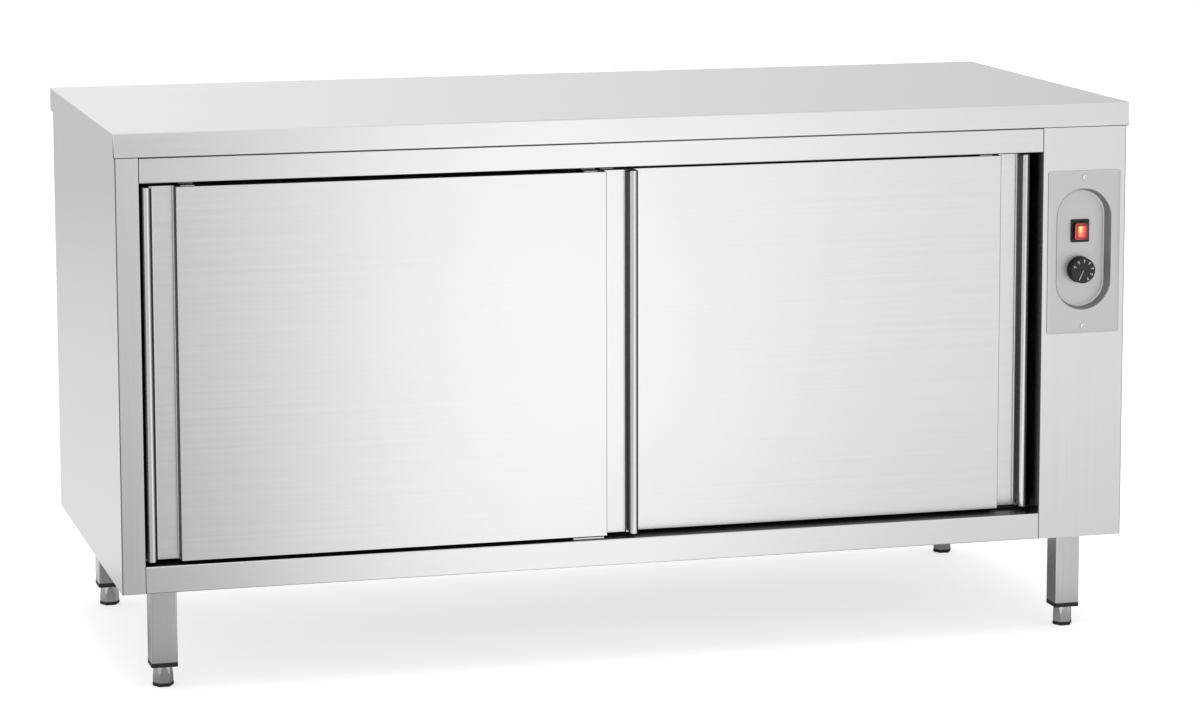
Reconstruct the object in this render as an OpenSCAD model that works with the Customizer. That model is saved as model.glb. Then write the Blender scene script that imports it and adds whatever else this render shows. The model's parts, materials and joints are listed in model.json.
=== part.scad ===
// Heated plate-warming cabinet: folded stainless sheet body on four legs, two hanging double-walled
// sliding doors, a middle shelf, and a control column with switch, thermostat and air heater.
// Origin: centre of the footprint on the floor. +X to the right, +Y to the back, +Z up.

/* [Overall size] */
// Length of the worktop
overall_w = 1600; // [1500:10:1800]
// Depth of the worktop
overall_d = 700; // [660:10:800]
// Height from the floor to the worktop's surface
overall_h = 850; // [840:5:950]

/* [Worktop] */
// Height of the worktop's folded edge
top_edge_h = 38; // [34:1:50]
// Outside radius of the worktop's folds
top_fold_r = 2; // [2:0.5:3]
// Overhang past each side of the body
top_lap_side = 2.5; // [1:0.5:6]
// Overhang past the front of the body
top_lap_front = 3.5; // [3.5:0.5:5]
// Overhang past the back of the body
top_lap_back = 10; // [8:1:20]
// Thickness of the board glued under the worktop's sheet
core_h = 18; // [12:1:20]

/* [Body] */
// Thickness of the body's sheet
sheet = 1.2; // [1:0.1:1.5]
// Clear height under the body
body_clear = 158; // [140:1:200]
// Width of the left stile, seen from the front
stile_w = 36; // [30:1:60]
// Width of the control column on the right
column_w = 139.5; // [130:0.5:180]
// Height of the rail over the doors
top_rail_h = 38; // [36:1:60]
// Height of the rail under the doors
bottom_rail_h = 41; // [36:1:60]
// Depth of the front frame, through both door lanes
frame_d = 60; // [60:1:80]
// Space between the liner's back and the back of the body
back_space = 18; // [16:1:40]

/* [Doors] */
// Thickness of a door
door_t = 25; // [24:1:25]
// Gap between the two doors, front to back
lane_gap = 3; // [3:0.5:4]
// How far the front door's face lies behind the frame
door_setback = 3.5; // [3:0.5:6]
// Gap between the closed left door and the stile
left_gap = 3.5; // [3:0.5:8]
// Gap between the closed right door and the control column
right_gap = 6; // [3:0.5:8]
// Gap under a door
door_gap = 5.5; // [5:0.5:8]
// Gap over a door
door_top_gap = 7; // [5:0.5:8]
// How far the closed doors overlap
door_overlap = 111.5; // [105:0.5:140]
// Thickness of a door's sheet
door_sheet = 1; // [0.8:0.1:1.2]
// Width of the rolled lip at each end of a door
lip_w = 15; // [12:1:16]
// Width of the finger channel beside the lip
channel_w = 36; // [30:1:40]
// Depth of the finger channel
channel_d = 20; // [16:0.5:20]

/* [Door running gear] */
// Distance from a door's left end to the middle of its first hanger
hanger_inset = 69; // [66:1:90]
// Distance from a door's right end to the middle of its second hanger
far_inset = 75; // [66:1:90]
// Width of a hanger
hanger_w = 21; // [18:1:26]
// Radius at the bottom of a roller's groove
roller_r = 10; // [9:0.5:10]
// Width of a roller
roller_w = 8; // [7:0.5:8]
// Radius of the pin that a roller turns on
pin_r = 3; // [2.5:0.5:4]

/* [Controls] */
// Width of the control plate
plate_w = 121; // [110:1:124]
// Height of the control plate
plate_h = 258; // [240:1:280]
// Height of the control plate's middle above the floor
plate_z = 614.5; // [560:0.5:640]
// Width of the dish pressed into the plate
dish_w = 90; // [86:0.5:94]
// Height of the dish
dish_h = 191.5; // [184:0.5:196]
// Height of the dish's middle above the plate's middle
dish_up = 4; // [0:0.5:6]
// Depth of the dish
dish_d = 18; // [14:1:20]
// Height of the switch above the dish's middle
switch_up = 27.5; // [25:0.5:34]
// Height of the knob below the dish's middle
knob_down = 34; // [30:1:40]
// Diameter of the knob's face
knob_d = 42; // [36:1:46]
// Length of the knob
knob_h = 17.5; // [12:0.5:18]

/* [Heater] */
// Diameter of the fan's wheel
fan_d = 140; // [120:2:150]
// Height of the fan's shaft above the floor
fan_z = 440; // [420:5:460]
// Number of blades on the fan's wheel
blade_count = 20; // [12:1:28]
// Number of straight runs of the heating element
element_runs = 6; // [4:2:8]

/* [Shelf] */
// Height of the shelf's top above the floor
shelf_z = 496; // [460:1:540]
// Height of the shelf's folded edges
shelf_edge_h = 28; // [20:1:32]

/* [Legs and feet] */
// Side of a leg's square tube
leg_w = 40; // [40:1:50]
// Distance from the worktop's edge to a leg
leg_inset = 51.5; // [48:0.5:70]
// Height of the foot's black pad
pad_h = 6; // [5:0.5:10]
// Height of the steel sleeve over the pad
sleeve_h = 26; // [22:1:34]
// Height of the black cap at the leg's end
cap_h = 7; // [5:1:10]

/* [Hidden] */
$fn = 48;

eps = 0.02;
over = 2; // how far a cutting shape passes the face that it cuts
seam = 0.3; // hairline gap where two panels meet
fold_in = 0.8; // inside radius of a fold
run_fit = 0.05; // radial clearance of a turning pin in its bore

// colours, as the sheet, plastic and rubber look
steel = [0.80, 0.81, 0.82];
bright = [0.88, 0.89, 0.90];
black = [0.06, 0.06, 0.065];
board = [0.52, 0.42, 0.30];
wool = [0.78, 0.72, 0.52];
red = [0.85, 0.10, 0.06];
copper = [0.72, 0.45, 0.25];

// body box
body_l = -overall_w / 2 + top_lap_side;
body_r = -body_l;
body_f = -overall_d / 2 + top_lap_front;
body_b = overall_d / 2 - top_lap_back;
body_z = body_clear;
body_top = overall_h - top_edge_h;

// door opening
open_l = body_l + stile_w;
open_r = body_r - column_w;
open_b = body_z + bottom_rail_h;
open_t = body_top - top_rail_h;
frame_b = body_f + frame_d; // back of the front frame
liner_b = body_b - back_space; // inside face of the liner's back
flange = 16;
liner_drop = 20; // how far the liner's walls reach below the floor

// doors, each drawn from its own left front bottom corner
door_w = (open_r - open_l - left_gap - right_gap + door_overlap) / 2;
door_z = open_b + door_gap;
door_h = open_t - open_b - door_gap - door_top_gap;
left_door_x = open_l + left_gap;
right_door_x = open_r - right_gap - door_w;
front_lane = body_f + door_setback;
rear_lane = front_lane + door_t + lane_gap;
groove_w = 6; // slot under the door that rides over the guide
groove_h = 12;
groove_y = 9.5; // from the door's face
lip_corner_r = 4;
channel_lean = 2; // how far the lip's wall leans into the channel

// running gear, heights above the floor and depths behind a lane's front
hanger_t = 2;
hanger_y = door_t - 3; // front face of the hanger's upright
hanger_foot = 20;
rail_top = open_t + 11; // edge that the rollers run on
rail_t = 1.5;
roller_y = door_t - 3 - 1.5 - roller_w; // front face of a roller
rail_y = roller_y + roller_w / 2 - rail_t / 2;
track_y = 5.5; // front face of a track
track_floor = open_t + 3;
track_lid = body_top - sheet - rail_t;
roller_rim = 3;
roller_z = rail_top + roller_r;
pin_z = roller_z - door_z; // height of the pins over the door's foot
stop_l = 10;
HANGER_X = [hanger_inset, door_w - far_inset]; // middles of a door's hangers

// controls
column_x = (open_r + body_r) / 2;
dish_r = dish_w / 2;
dish_mid = dish_h - dish_w; // straight part of the dish's outline
plate_up = 1.8; // how far the plate stands off the column
plate_t = 1.2;
plate_bevel = 5.5;
bevel_rise = 0.6; // how much higher the face is than the plate's upright edge
dish_fillet = 3;
dish_floor = plate_up - dish_d; // height of the dish's floor off the column, negative
dish_draft = 2.6; // how much narrower the dish is at its floor, per side, besides the fillets
switch_z = dish_up + switch_up; // heights over the plate's middle
knob_z = dish_up - knob_down;
bezel_w = 31;
bezel_h = 36.5;
bezel_t = 1.8;
rocker_w = 22.5;
rocker_h = 27;
rocker_swing = 10;
rocker_axis = dish_floor + bezel_t + 5; // height of the rocker's pivot off the column
rocker_face = 4.2; // height of the rocker's face over its pivot
screw_up = plate_h / 2 - 11;
switch_depth = 26;
shaft_r = 3;

// heater, in the closed column
fan_y = 40;
fan_x = open_r + 8;
rotor_w = 36;
duct_x = open_r + sheet;
duct_w = 62;
duct_half_d = 98;
duct_z = open_b + 10;
duct_top = fan_z + 92;
element_r = 4.25;
element_pitch = 26;
element_half = element_pitch * (element_runs - 1) / 2;
element_top = duct_z + 84;

// legs
leg_x = overall_w / 2 - leg_inset - leg_w / 2;
leg_y = overall_d / 2 - leg_inset - leg_w / 2;
leg_wall = 1.5;
leg_bottom = pad_h + sleeve_h + cap_h;
stem_r = 5;
stem_h = 30;
CORNERS = [[-1, -1], [1, -1], [-1, 1], [1, 1]];

// ---------- shared shapes ----------

function heading(a, b) = atan2(b[1] - a[1], b[0] - a[0]);

// a folded sheet seen end on: straight runs of thickness t, joined by square folds with a round bend.
// The points are the ends and the corners of the sheet's middle line.
module folded(points, t) {
    last = len(points) - 1;
    bend = fold_in + t / 2;
    for (i = [0 : last - 1]) {
        start = i == 0 ? 0 : bend;
        end = norm(points[i + 1] - points[i]) - (i == last - 1 ? 0 : bend);
        translate(points[i]) rotate(heading(points[i], points[i + 1]))
            translate([start, -t / 2]) square([end - start, t]);
    }
    for (i = [1 : last - 1]) {
        along = heading(points[i - 1], points[i]);
        turn = sin(heading(points[i], points[i + 1]) - along);
        translate(points[i]) rotate(along) mirror([0, turn < 0 ? 1 : 0]) translate([-bend, bend])
            intersection() {
                difference() {
                    circle(fold_in + t);
                    circle(fold_in);
                }
                translate([0, -fold_in - t]) square(fold_in + t);
            }
    }
}

// a folded sheet that runs along X, from its section in Y and Z
module along_x(x0, x1, points, t) {
    translate([x0, 0, 0]) rotate([90, 0, 90]) linear_extrude(x1 - x0) folded(points, t);
}

// a folded sheet that runs along Y, from its section in X and Z
module along_y(y0, y1, points, t) {
    translate([0, y1, 0]) rotate([90, 0, 0]) linear_extrude(y1 - y0) folded(points, t);
}

// a folded sheet that stands along Z, from its section in X and Y
module along_z(z0, z1, points, t) {
    translate([0, 0, z0]) linear_extrude(z1 - z0) folded(points, t);
}

// a plate given by two opposite corners
module block(low, high) {
    translate(low) cube(high - low);
}

module rounded_square(w, h, r) {
    translate([-w / 2 + r, -h / 2]) square([w - 2 * r, h]);
    translate([-w / 2, -h / 2 + r]) square([w, h - 2 * r]);
    for (sx = [-1, 1], sy = [-1, 1]) translate([sx * (w / 2 - r), sy * (h / 2 - r)]) circle(r);
}

// an upright stadium, w wide and h high
module stadium(w, h) {
    translate([-w / 2, -(h - w) / 2]) square([w, h - w]);
    for (s = [-1, 1]) translate([0, s * (h - w) / 2]) circle(d = w);
}

// drawn looking at the column's front: x to the right, y up, z towards the user
module on_column(up = 0) {
    translate([column_x, body_f, plate_z + up]) rotate([90, 0, 0]) children();
}

// drawn looking at the back: x towards -X, y up, z away from the body
module on_back(x, z) {
    translate([x, body_b, z]) rotate([90, 0, 180]) children();
}

// ---------- worktop ----------

// solid block with its edges rounded as the folded sheet's are, drawn in by the inset on every side
module top_block(inset) {
    w = overall_w - 2 * inset;
    d = overall_d - 2 * inset;
    h = top_edge_h - 2 * inset;
    r = top_fold_r - inset;
    translate([0, 0, body_top + top_edge_h / 2]) intersection() {
        linear_extrude(h, center = true) rounded_square(w, d, r);
        rotate([90, 0, 90]) linear_extrude(w, center = true) rounded_square(d, h, r);
        rotate([90, 0, 0]) linear_extrude(d, center = true) rounded_square(w, h, r);
    }
}

top_return = 14; // width of the flange folded in under the edge

module worktop() {
    color(steel) difference() {
        top_block(0);
        top_block(sheet);
        block(
            [-overall_w / 2 + top_return, -overall_d / 2 + top_return, body_top - over],
            [overall_w / 2 - top_return, overall_d / 2 - top_return, body_top + sheet + over]
        );
    }
}

module worktop_core() {
    top = overall_h - sheet;
    side = top_fold_r + 1;
    color(board) block(
        [-overall_w / 2 + side, -overall_d / 2 + side, top - core_h],
        [overall_w / 2 - side, overall_d / 2 - side, top]
    );
}

// ---------- body ----------

half = sheet / 2;
side_flange = 20;
front_flange = 32;
tray_edge_h = 24;
back_screw_r = 2;
plate_screw_r = 1.6;

// flanges that close a side panel at its top and bottom: along the side, and behind its front
module side_lids(side_x, flange_x, front_x) {
    y = body_f + half;
    for (z = [body_z, body_top - sheet]) {
        block([min(side_x, flange_x), y, z], [max(side_x, flange_x), body_b - sheet, z + sheet]);
        block([min(side_x, front_x), y, z], [max(side_x, front_x), body_f + front_flange, z + sheet]);
    }
}

// the returns behind the stile and the column stop short of the base tray's folded edges
module tray_notch() {
    block(
        [-overall_w, body_f + front_flange, body_z - over],
        [overall_w, frame_b + over, body_z + tray_edge_h + seam]
    );
}

// holes for the screws that hold the back panel to the side panels
module back_screw_holes() {
    back_screw_places() translate([0, 0, -over * 2]) cylinder(h = over * 3, r = back_screw_r);
}

module left_side_panel() {
    color(steel) difference() {
        union() {
            along_z(body_z, body_top, [
                [body_l + side_flange, body_b - sheet - half],
                [body_l + half, body_b - sheet - half],
                [body_l + half, body_f + half],
                [open_l - half, body_f + half],
                [open_l - half, frame_b]
            ], sheet);
            side_lids(body_l + half, body_l + side_flange, open_l - half);
        }
        intersection() {
            tray_notch();
            block([open_l - 2 * sheet, -overall_d, 0], [open_l + sheet, 0, overall_h]);
        }
        back_screw_holes();
    }
}

module right_side_panel() {
    color(steel) difference() {
        union() {
            along_z(body_z, body_top, [
                [body_r - side_flange, body_b - sheet - half],
                [body_r - half, body_b - sheet - half],
                [body_r - half, body_f + half],
                [open_r + half, body_f + half],
                [open_r + half, frame_b]
            ], sheet);
            side_lids(body_r - half, body_r - side_flange, open_r + half);
        }
        intersection() {
            tray_notch();
            block([open_r - sheet, -overall_d, 0], [open_r + 2 * sheet, 0, overall_h]);
        }
        on_column(dish_up) translate([0, 0, -over * 2]) linear_extrude(over * 3)
            stadium(dish_w + 2 * dish_fillet, dish_h + 2 * dish_fillet);
        for (s = [-1, 1]) on_column(s * screw_up) translate([0, 0, -over * 2])
            cylinder(h = over * 3, r = plate_screw_r);
        back_screw_holes();
    }
}

vent_rows = 9;
vent_pitch = 11;
vent_z = 560;
gland_z = 205;
gland_r = 8;
back_screw_x = body_r - 10;

module back_screw_places() {
    for (x = [-back_screw_x, back_screw_x], z = [body_z + 40 : (body_top - body_z - 80) / 3 : body_top - 39])
        on_back(x, z) children();
}

module back_panel() {
    color(steel) difference() {
        block([body_l + seam, body_b - sheet, body_z], [body_r - seam, body_b, body_top]);
        for (i = [0 : vent_rows - 1]) on_back(column_x, vent_z + i * vent_pitch)
            translate([0, 0, -over * 2]) linear_extrude(over * 3) rotate(90) stadium(4.5, 60);
        on_back(column_x, gland_z) translate([0, 0, -over * 2]) cylinder(h = over * 3, r = gland_r);
        back_screw_holes();
    }
}

module base_tray() {
    color(steel) along_x(body_l + side_flange + seam, body_r - side_flange - seam, [
        [body_f + front_flange + 1, body_z + tray_edge_h],
        [body_f + front_flange + 1, body_z + half],
        [body_b - sheet - half - seam, body_z + half],
        [body_b - sheet - half - seam, body_z + tray_edge_h]
    ], sheet);
}

module bottom_front_rail() {
    color(steel) along_x(open_l + seam, open_r - seam, [
        [body_f + front_flange, body_z + half],
        [body_f + half, body_z + half],
        [body_f + half, open_b - half],
        [frame_b - half, open_b - half],
        [frame_b - half, open_b - 14]
    ], sheet);
}

module top_front_rail() {
    color(steel) along_x(open_l + seam, open_r - seam, [
        [body_f + 5, open_t + half],
        [body_f + half, open_t + half],
        [body_f + half, body_top - half],
        [frame_b, body_top - half]
    ], sheet);
}

module inner_floor() {
    color(steel) block([open_l + seam, frame_b + seam, open_b - sheet], [open_r - seam, liner_b, open_b]);
}

// the liner's side walls stand in line with the stile's and the column's own returns
module left_liner() {
    color(steel) along_z(open_b - liner_drop, body_top - sheet - seam, [
        [open_l - flange, frame_b + half + eps],
        [open_l - half, frame_b + half + eps],
        [open_l - half, liner_b - half],
        [open_l - flange, liner_b - half]
    ], sheet);
}

module back_liner() {
    color(steel) block(
        [open_l - flange, liner_b, open_b - liner_drop],
        [open_r + flange, liner_b + sheet, body_top - 4]
    );
}

module ceiling_liner() {
    color(steel) along_x(open_l + seam, open_r - seam, [
        [frame_b + half + seam, body_top - half],
        [frame_b + half + seam, open_t + half],
        [liner_b - seam, open_t + half]
    ], sheet);
}

slot_w = 6;
intake_r = 52;
intake_pitch = 12;
outlet_z = duct_z + 8;
outlet_h = 46;
outlet_count = 13;

// intake over the fan's eye and outlet at the foot of the duct
module vent_slots() {
    for (i = [-4 : 4]) {
        reach = sqrt(pow(intake_r, 2) - pow(i * intake_pitch, 2));
        translate([0, fan_y + i * intake_pitch, fan_z]) rotate([90, 0, 90])
            linear_extrude(over * 3, center = true) stadium(slot_w, 2 * reach + slot_w);
    }
    for (i = [0 : outlet_count - 1])
        translate([0, fan_y + (i - (outlet_count - 1) / 2) * 14, outlet_z + outlet_h / 2]) rotate([90, 0, 90])
            linear_extrude(over * 3, center = true) stadium(slot_w, outlet_h);
}

module partition_wall() {
    color(steel) difference() {
        along_z(open_b - liner_drop, body_top - sheet - seam, [
            [open_r + flange, frame_b + half + eps],
            [open_r + half, frame_b + half + eps],
            [open_r + half, liner_b - half],
            [open_r + flange, liner_b - half]
        ], sheet);
        translate([open_r + half, 0, 0]) vent_slots();
    }
}

// ---------- doors ----------

// the door's solid outline seen from above, drawn in by e on every side but the back
module door_outline(e) {
    difference() {
        translate([e, e]) square([door_w - 2 * e, door_t - door_sheet - e]);
        for (m = [0, 1]) translate([m * door_w, 0]) mirror([m, 0]) {
            polygon([
                [lip_w - e, -over],
                [lip_w - e, lip_w / 2],
                [lip_w - e + channel_lean, channel_d + e],
                [lip_w + channel_w + e, channel_d + e],
                [lip_w + channel_w + e, -over]
            ]);
            difference() {
                translate([0, -over]) square([lip_w - e, lip_w / 2 + over]);
                translate([lip_w / 2, lip_w / 2]) circle(lip_w / 2 - e);
            }
        }
    }
}

// the groove along the underside, w wide and h high
module door_groove(w, h) {
    translate([-over, groove_y + (groove_w - w) / 2, -over]) cube([door_w + 2 * over, w, h + over]);
}

// the corners of the lips that face the channels are rounded off at both ends
module lip_corners() {
    for (m = [0, 1], z = [0, 1])
        translate([m * door_w, 0, z * door_h]) mirror([m, 0, 0]) mirror([0, 0, z])
            translate([lip_w - lip_corner_r, -over, 0]) difference() {
                translate([0, 0, -over])
                    cube([lip_corner_r + channel_lean + over, channel_d + over, lip_corner_r + over]);
                translate([0, -over, lip_corner_r]) rotate([-90, 0, 0])
                    cylinder(h = door_t + over, r = lip_corner_r);
            }
}

module door_front() {
    difference() {
        linear_extrude(door_h) door_outline(0);
        difference() {
            translate([0, 0, door_sheet]) linear_extrude(door_h - 2 * door_sheet) door_outline(door_sheet);
            door_groove(groove_w + 2 * door_sheet, groove_h + door_sheet);
        }
        door_groove(groove_w, groove_h);
        lip_corners();
    }
}

module door_core() {
    difference() {
        translate([0, 0, door_sheet]) linear_extrude(door_h - 2 * door_sheet) door_outline(door_sheet);
        door_groove(groove_w + 2 * door_sheet, groove_h + door_sheet);
        lip_corners();
    }
}

module door_back() {
    translate([0, door_t - door_sheet, 0]) cube([door_w, door_sheet, door_h]);
}

module at_hangers() {
    for (x = HANGER_X) translate([x, 0, 0]) children();
}

// an angle on the door's top edge, with an upright that carries the roller's pin
module door_hangers() {
    foot_y = hanger_y + hanger_t - hanger_foot;
    at_hangers() difference() {
        union() {
            translate([-hanger_w / 2, foot_y, door_h]) cube([hanger_w, hanger_foot, hanger_t]);
            translate([-hanger_w / 2, hanger_y, door_h]) cube([hanger_w, hanger_t, pin_z - door_h]);
            translate([0, hanger_y, pin_z]) rotate([-90, 0, 0]) intersection() {
                cylinder(h = hanger_t, r = hanger_w / 2);
                translate([-hanger_w, -hanger_w, 0]) cube([2 * hanger_w, hanger_w + 8, hanger_t]);
            }
        }
        translate([0, hanger_y - over, pin_z]) rotate([-90, 0, 0])
            cylinder(h = hanger_t + 2 * over, r = pin_r);
    }
}

// shouldered pins, riveted into the hangers
module door_pins() {
    head_r = pin_r + 1.5;
    play = 0.4; // between the roller and the head or the shoulder
    shoulder_y = roller_y + roller_w + play;
    at_hangers() translate([0, 0, pin_z]) rotate([-90, 0, 0]) {
        translate([0, 0, roller_y - play - 1.6]) cylinder(h = 1.6, r = head_r);
        translate([0, 0, roller_y - 1]) cylinder(h = hanger_y + hanger_t + 0.6 - roller_y + 1, r = pin_r);
        translate([0, 0, shoulder_y]) cylinder(h = hanger_y - shoulder_y, r = head_r);
    }
}

// a grooved wheel that straddles the rail
module door_roller(x) {
    groove = rail_t + 0.8;
    rim = (roller_w - groove) / 2;
    translate([x, roller_y, pin_z]) rotate([-90, 0, 0]) rotate_extrude() polygon([
        [pin_r + run_fit, 0],
        [roller_r + roller_rim - 1, 0],
        [roller_r + roller_rim, 1],
        [roller_r + roller_rim, rim - 0.8],
        [roller_r, rim],
        [roller_r, rim + groove],
        [roller_r + roller_rim, rim + groove + 0.8],
        [roller_r + roller_rim, roller_w - 1],
        [roller_r + roller_rim - 1, roller_w],
        [pin_r + run_fit, roller_w]
    ]);
}

module at_left_door() {
    translate([left_door_x, front_lane, door_z]) children();
}

module at_right_door() {
    translate([right_door_x, rear_lane, door_z]) children();
}

module left_door_front() { color(steel) at_left_door() door_front(); }
module left_door_back() { color(steel) at_left_door() door_back(); }
module left_door_core() { color(wool) at_left_door() door_core(); }
module left_door_hangers() { color(bright) at_left_door() door_hangers(); }
module left_door_pins() { color(bright) at_left_door() door_pins(); }
module left_door_roller_left() { color(black) at_left_door() door_roller(HANGER_X[0]); }
module left_door_roller_right() { color(black) at_left_door() door_roller(HANGER_X[1]); }
module right_door_front() { color(steel) at_right_door() door_front(); }
module right_door_back() { color(steel) at_right_door() door_back(); }
module right_door_core() { color(wool) at_right_door() door_core(); }
module right_door_hangers() { color(bright) at_right_door() door_hangers(); }
module right_door_pins() { color(bright) at_right_door() door_pins(); }
module right_door_roller_left() { color(black) at_right_door() door_roller(HANGER_X[0]); }
module right_door_roller_right() { color(black) at_right_door() door_roller(HANGER_X[1]); }

// ---------- tracks, stops and guide ----------

// a hooked section: lid under the rail's flange, web, floor, and the edge that the rollers run on
module track(lane) {
    color(bright) along_x(open_l + 1, open_r - 1, [
        [lane + rail_y, track_lid + rail_t / 2],
        [lane + track_y + rail_t / 2, track_lid + rail_t / 2],
        [lane + track_y + rail_t / 2, track_floor + rail_t / 2],
        [lane + rail_y + rail_t / 2, track_floor + rail_t / 2],
        [lane + rail_y + rail_t / 2, rail_top]
    ], rail_t);
}

module front_track() { track(front_lane); }
module rear_track() { track(rear_lane); }

// rubber blocks clipped over each rail, against the rollers of the closed and the open door
module track_stops() {
    play = 0.5; // between a stop and the roller of a door at the end of its way
    reach = roller_r + roller_rim + play;
    left_stop = open_l + left_gap + hanger_inset - reach - stop_l;
    right_stop = open_r - right_gap - far_inset + reach;
    web_back = track_y + rail_t;
    stop_z = track_floor + rail_t + fold_in;
    color(black) for (lane = [front_lane, rear_lane], x = [left_stop, right_stop])
        translate([x, lane + web_back, stop_z]) difference() {
            cube([stop_l, rail_y + 3 - track_y, roller_z - stop_z]);
            translate([-over, rail_y - web_back, -over])
                cube([stop_l + 2 * over, rail_t, rail_top - stop_z + over]);
        }
}

guide_l = 49;
guide_inset = 7; // from the right door's end to the guide
guide_x = right_door_x + guide_inset + guide_l / 2;
tongue_w = 4;

// fixed tongues that both doors run over, where they overlap
module door_guide() {
    color(bright) {
        block(
            [guide_x - guide_l / 2, front_lane + 3, open_b],
            [guide_x + guide_l / 2, rear_lane + door_t - 3, open_b + door_gap - 2]
        );
        for (lane = [front_lane, rear_lane]) block(
            [guide_x - guide_l / 2, lane + groove_y + (groove_w - tongue_w) / 2, open_b],
            [guide_x + guide_l / 2, lane + groove_y + (groove_w + tongue_w) / 2, door_z + groove_h - 3]
        );
    }
}

// ---------- shelf ----------

shelf_l = open_l + 4;
shelf_r = open_r - 12;
shelf_f = frame_b + 8;
shelf_b = liner_b - 3;

module shelf() {
    color(steel) difference() {
        block([shelf_l, shelf_f, shelf_z - shelf_edge_h], [shelf_r, shelf_b, shelf_z]);
        block(
            [shelf_l + sheet, shelf_f + sheet, shelf_z - shelf_edge_h - over],
            [shelf_r - sheet, shelf_b - sheet, shelf_z - sheet]
        );
    }
}

// angles on the liner's side walls that the shelf sits on
module shelf_rests() {
    rest_z = shelf_z - shelf_edge_h;
    rest_t = 2;
    color(bright) {
        along_y(shelf_f, shelf_b, [
            [open_l + rest_t / 2, rest_z + 20],
            [open_l + rest_t / 2, rest_z - rest_t / 2],
            [open_l + 22, rest_z - rest_t / 2]
        ], rest_t);
        along_y(shelf_f, shelf_b, [
            [open_r - rest_t / 2, rest_z + 20],
            [open_r - rest_t / 2, rest_z - rest_t / 2],
            [open_r - 26, rest_z - rest_t / 2]
        ], rest_t);
    }
}

// ---------- controls ----------

function arc(cx, cy, r, from, to, steps) =
    [for (i = [0 : steps]) let (a = from + (to - from) * i / steps) [cx + r * cos(a), cy + r * sin(a)]];

// the dish's wall in section: distance from the dish's middle line, then height off the column
wall_lean = atan(dish_draft / (dish_d - 2 * dish_fillet));
rim_x = dish_r + dish_fillet;
rim_y = plate_up - dish_fillet;
foot_x = dish_r - dish_draft - dish_fillet;
foot_y = plate_up - dish_d + dish_fillet;
DISH_FRONT = concat(
    arc(rim_x, rim_y, dish_fillet, 90, 180 + wall_lean, 6),
    arc(foot_x, foot_y, dish_fillet, wall_lean, -90, 6)
);
DISH_BACK = concat(
    arc(foot_x, foot_y, dish_fillet + plate_t, -90, wall_lean, 6),
    arc(rim_x, rim_y, dish_fillet - plate_t, 180 + wall_lean, 90, 6)
);

module dish_wall_section() {
    polygon(concat(DISH_FRONT, DISH_BACK));
}

// everything inside the dish's front surface, down to its floor
module dish_space_section() {
    polygon(concat([[0, plate_up + over], [rim_x, plate_up + over]], DISH_FRONT, [[0, plate_up - dish_d]]));
}

// turns a section round both ends of the dish and runs it along the straight sides
module round_dish() {
    for (s = [0, 1]) mirror([0, s, 0]) translate([0, dish_mid / 2, 0]) rotate_extrude(angle = 180) children();
    for (s = [0, 1]) mirror([s, 0, 0])
        translate([0, dish_mid / 2, 0]) rotate([90, 0, 0]) linear_extrude(dish_mid) children();
}

// the raised face with bevelled sides, solid
module plate_block(inset) {
    hull() {
        translate([0, 0, -over]) linear_extrude(over + plate_up - bevel_rise - inset)
            rounded_square(plate_w - 2 * inset, plate_h - 2 * inset, 4);
        translate([0, 0, plate_up - inset - eps]) linear_extrude(eps)
            rounded_square(plate_w - 2 * plate_bevel, plate_h - 2 * plate_bevel, 3);
    }
}

module control_plate() {
    color(steel) on_column() difference() {
        union() {
            difference() {
                intersection() {
                    plate_block(0);
                    translate([0, 0, plate_up / 2]) cube([plate_w + 1, plate_h + 1, plate_up], center = true);
                }
                difference() {
                    plate_block(plate_t);
                    for (s = [-1, 1]) translate([0, s * screw_up, 0]) cylinder(h = plate_up, r = 6);
                }
                translate([0, dish_up, 0]) linear_extrude(dish_d, center = true)
                    stadium(2 * rim_x - eps, dish_mid + 2 * rim_x - eps);
            }
            translate([0, dish_up, 0]) round_dish() dish_wall_section();
            translate([0, dish_up, plate_up - dish_d - plate_t]) linear_extrude(plate_t)
                stadium(2 * foot_x + eps, dish_mid + 2 * foot_x + eps);
        }
        for (s = [-1, 1]) translate([0, s * screw_up, -over])
            cylinder(h = plate_up + 2 * over, r = plate_screw_r);
        translate([0, switch_z, -dish_d]) linear_extrude(dish_d, center = true)
            square([rocker_w + 4, rocker_h + 3.2], center = true);
        translate([0, knob_z, -dish_d]) cylinder(h = dish_d, r = 5, center = true);
    }
}

// pan head with a slot, and its threaded shank in the sheet's hole
module pan_screw(head_r, shank_r, shank_h) {
    difference() {
        union() {
            cylinder(h = 0.8, r = head_r);
            translate([0, 0, 0.8]) cylinder(h = 0.9, r1 = head_r, r2 = head_r - 1.2);
        }
        translate([-head_r, -0.4, 0.9]) cube([2 * head_r, 0.8, 2]);
    }
    translate([0, 0, -shank_h]) cylinder(h = shank_h + eps, r = shank_r);
}

module panel_screws() {
    color(bright) {
        for (s = [-1, 1]) on_column(s * screw_up) translate([0, 0, plate_up])
            rotate(25) pan_screw(3.4, plate_screw_r, 12);
        back_screw_places() pan_screw(3.8, back_screw_r, 6);
    }
}

// frame, latched into the dish's floor, with the switch's body behind it
module switch_housing() {
    color(black) on_column(switch_z) difference() {
        union() {
            translate([0, 0, dish_floor]) linear_extrude(bezel_t) rounded_square(bezel_w, bezel_h, 2.5);
            translate([0, 0, dish_floor - switch_depth]) linear_extrude(switch_depth + eps)
                square([rocker_w + 3.6, rocker_h + 2.8], center = true);
            for (x = [-6, 6]) translate([x - 2.4, -3, dish_floor - switch_depth - 8]) cube([4.8, 0.8, 9]);
        }
        translate([0, 0, dish_floor - 6]) linear_extrude(12)
            square([rocker_w + 0.8, rocker_h + 0.6], center = true);
    }
}

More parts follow.
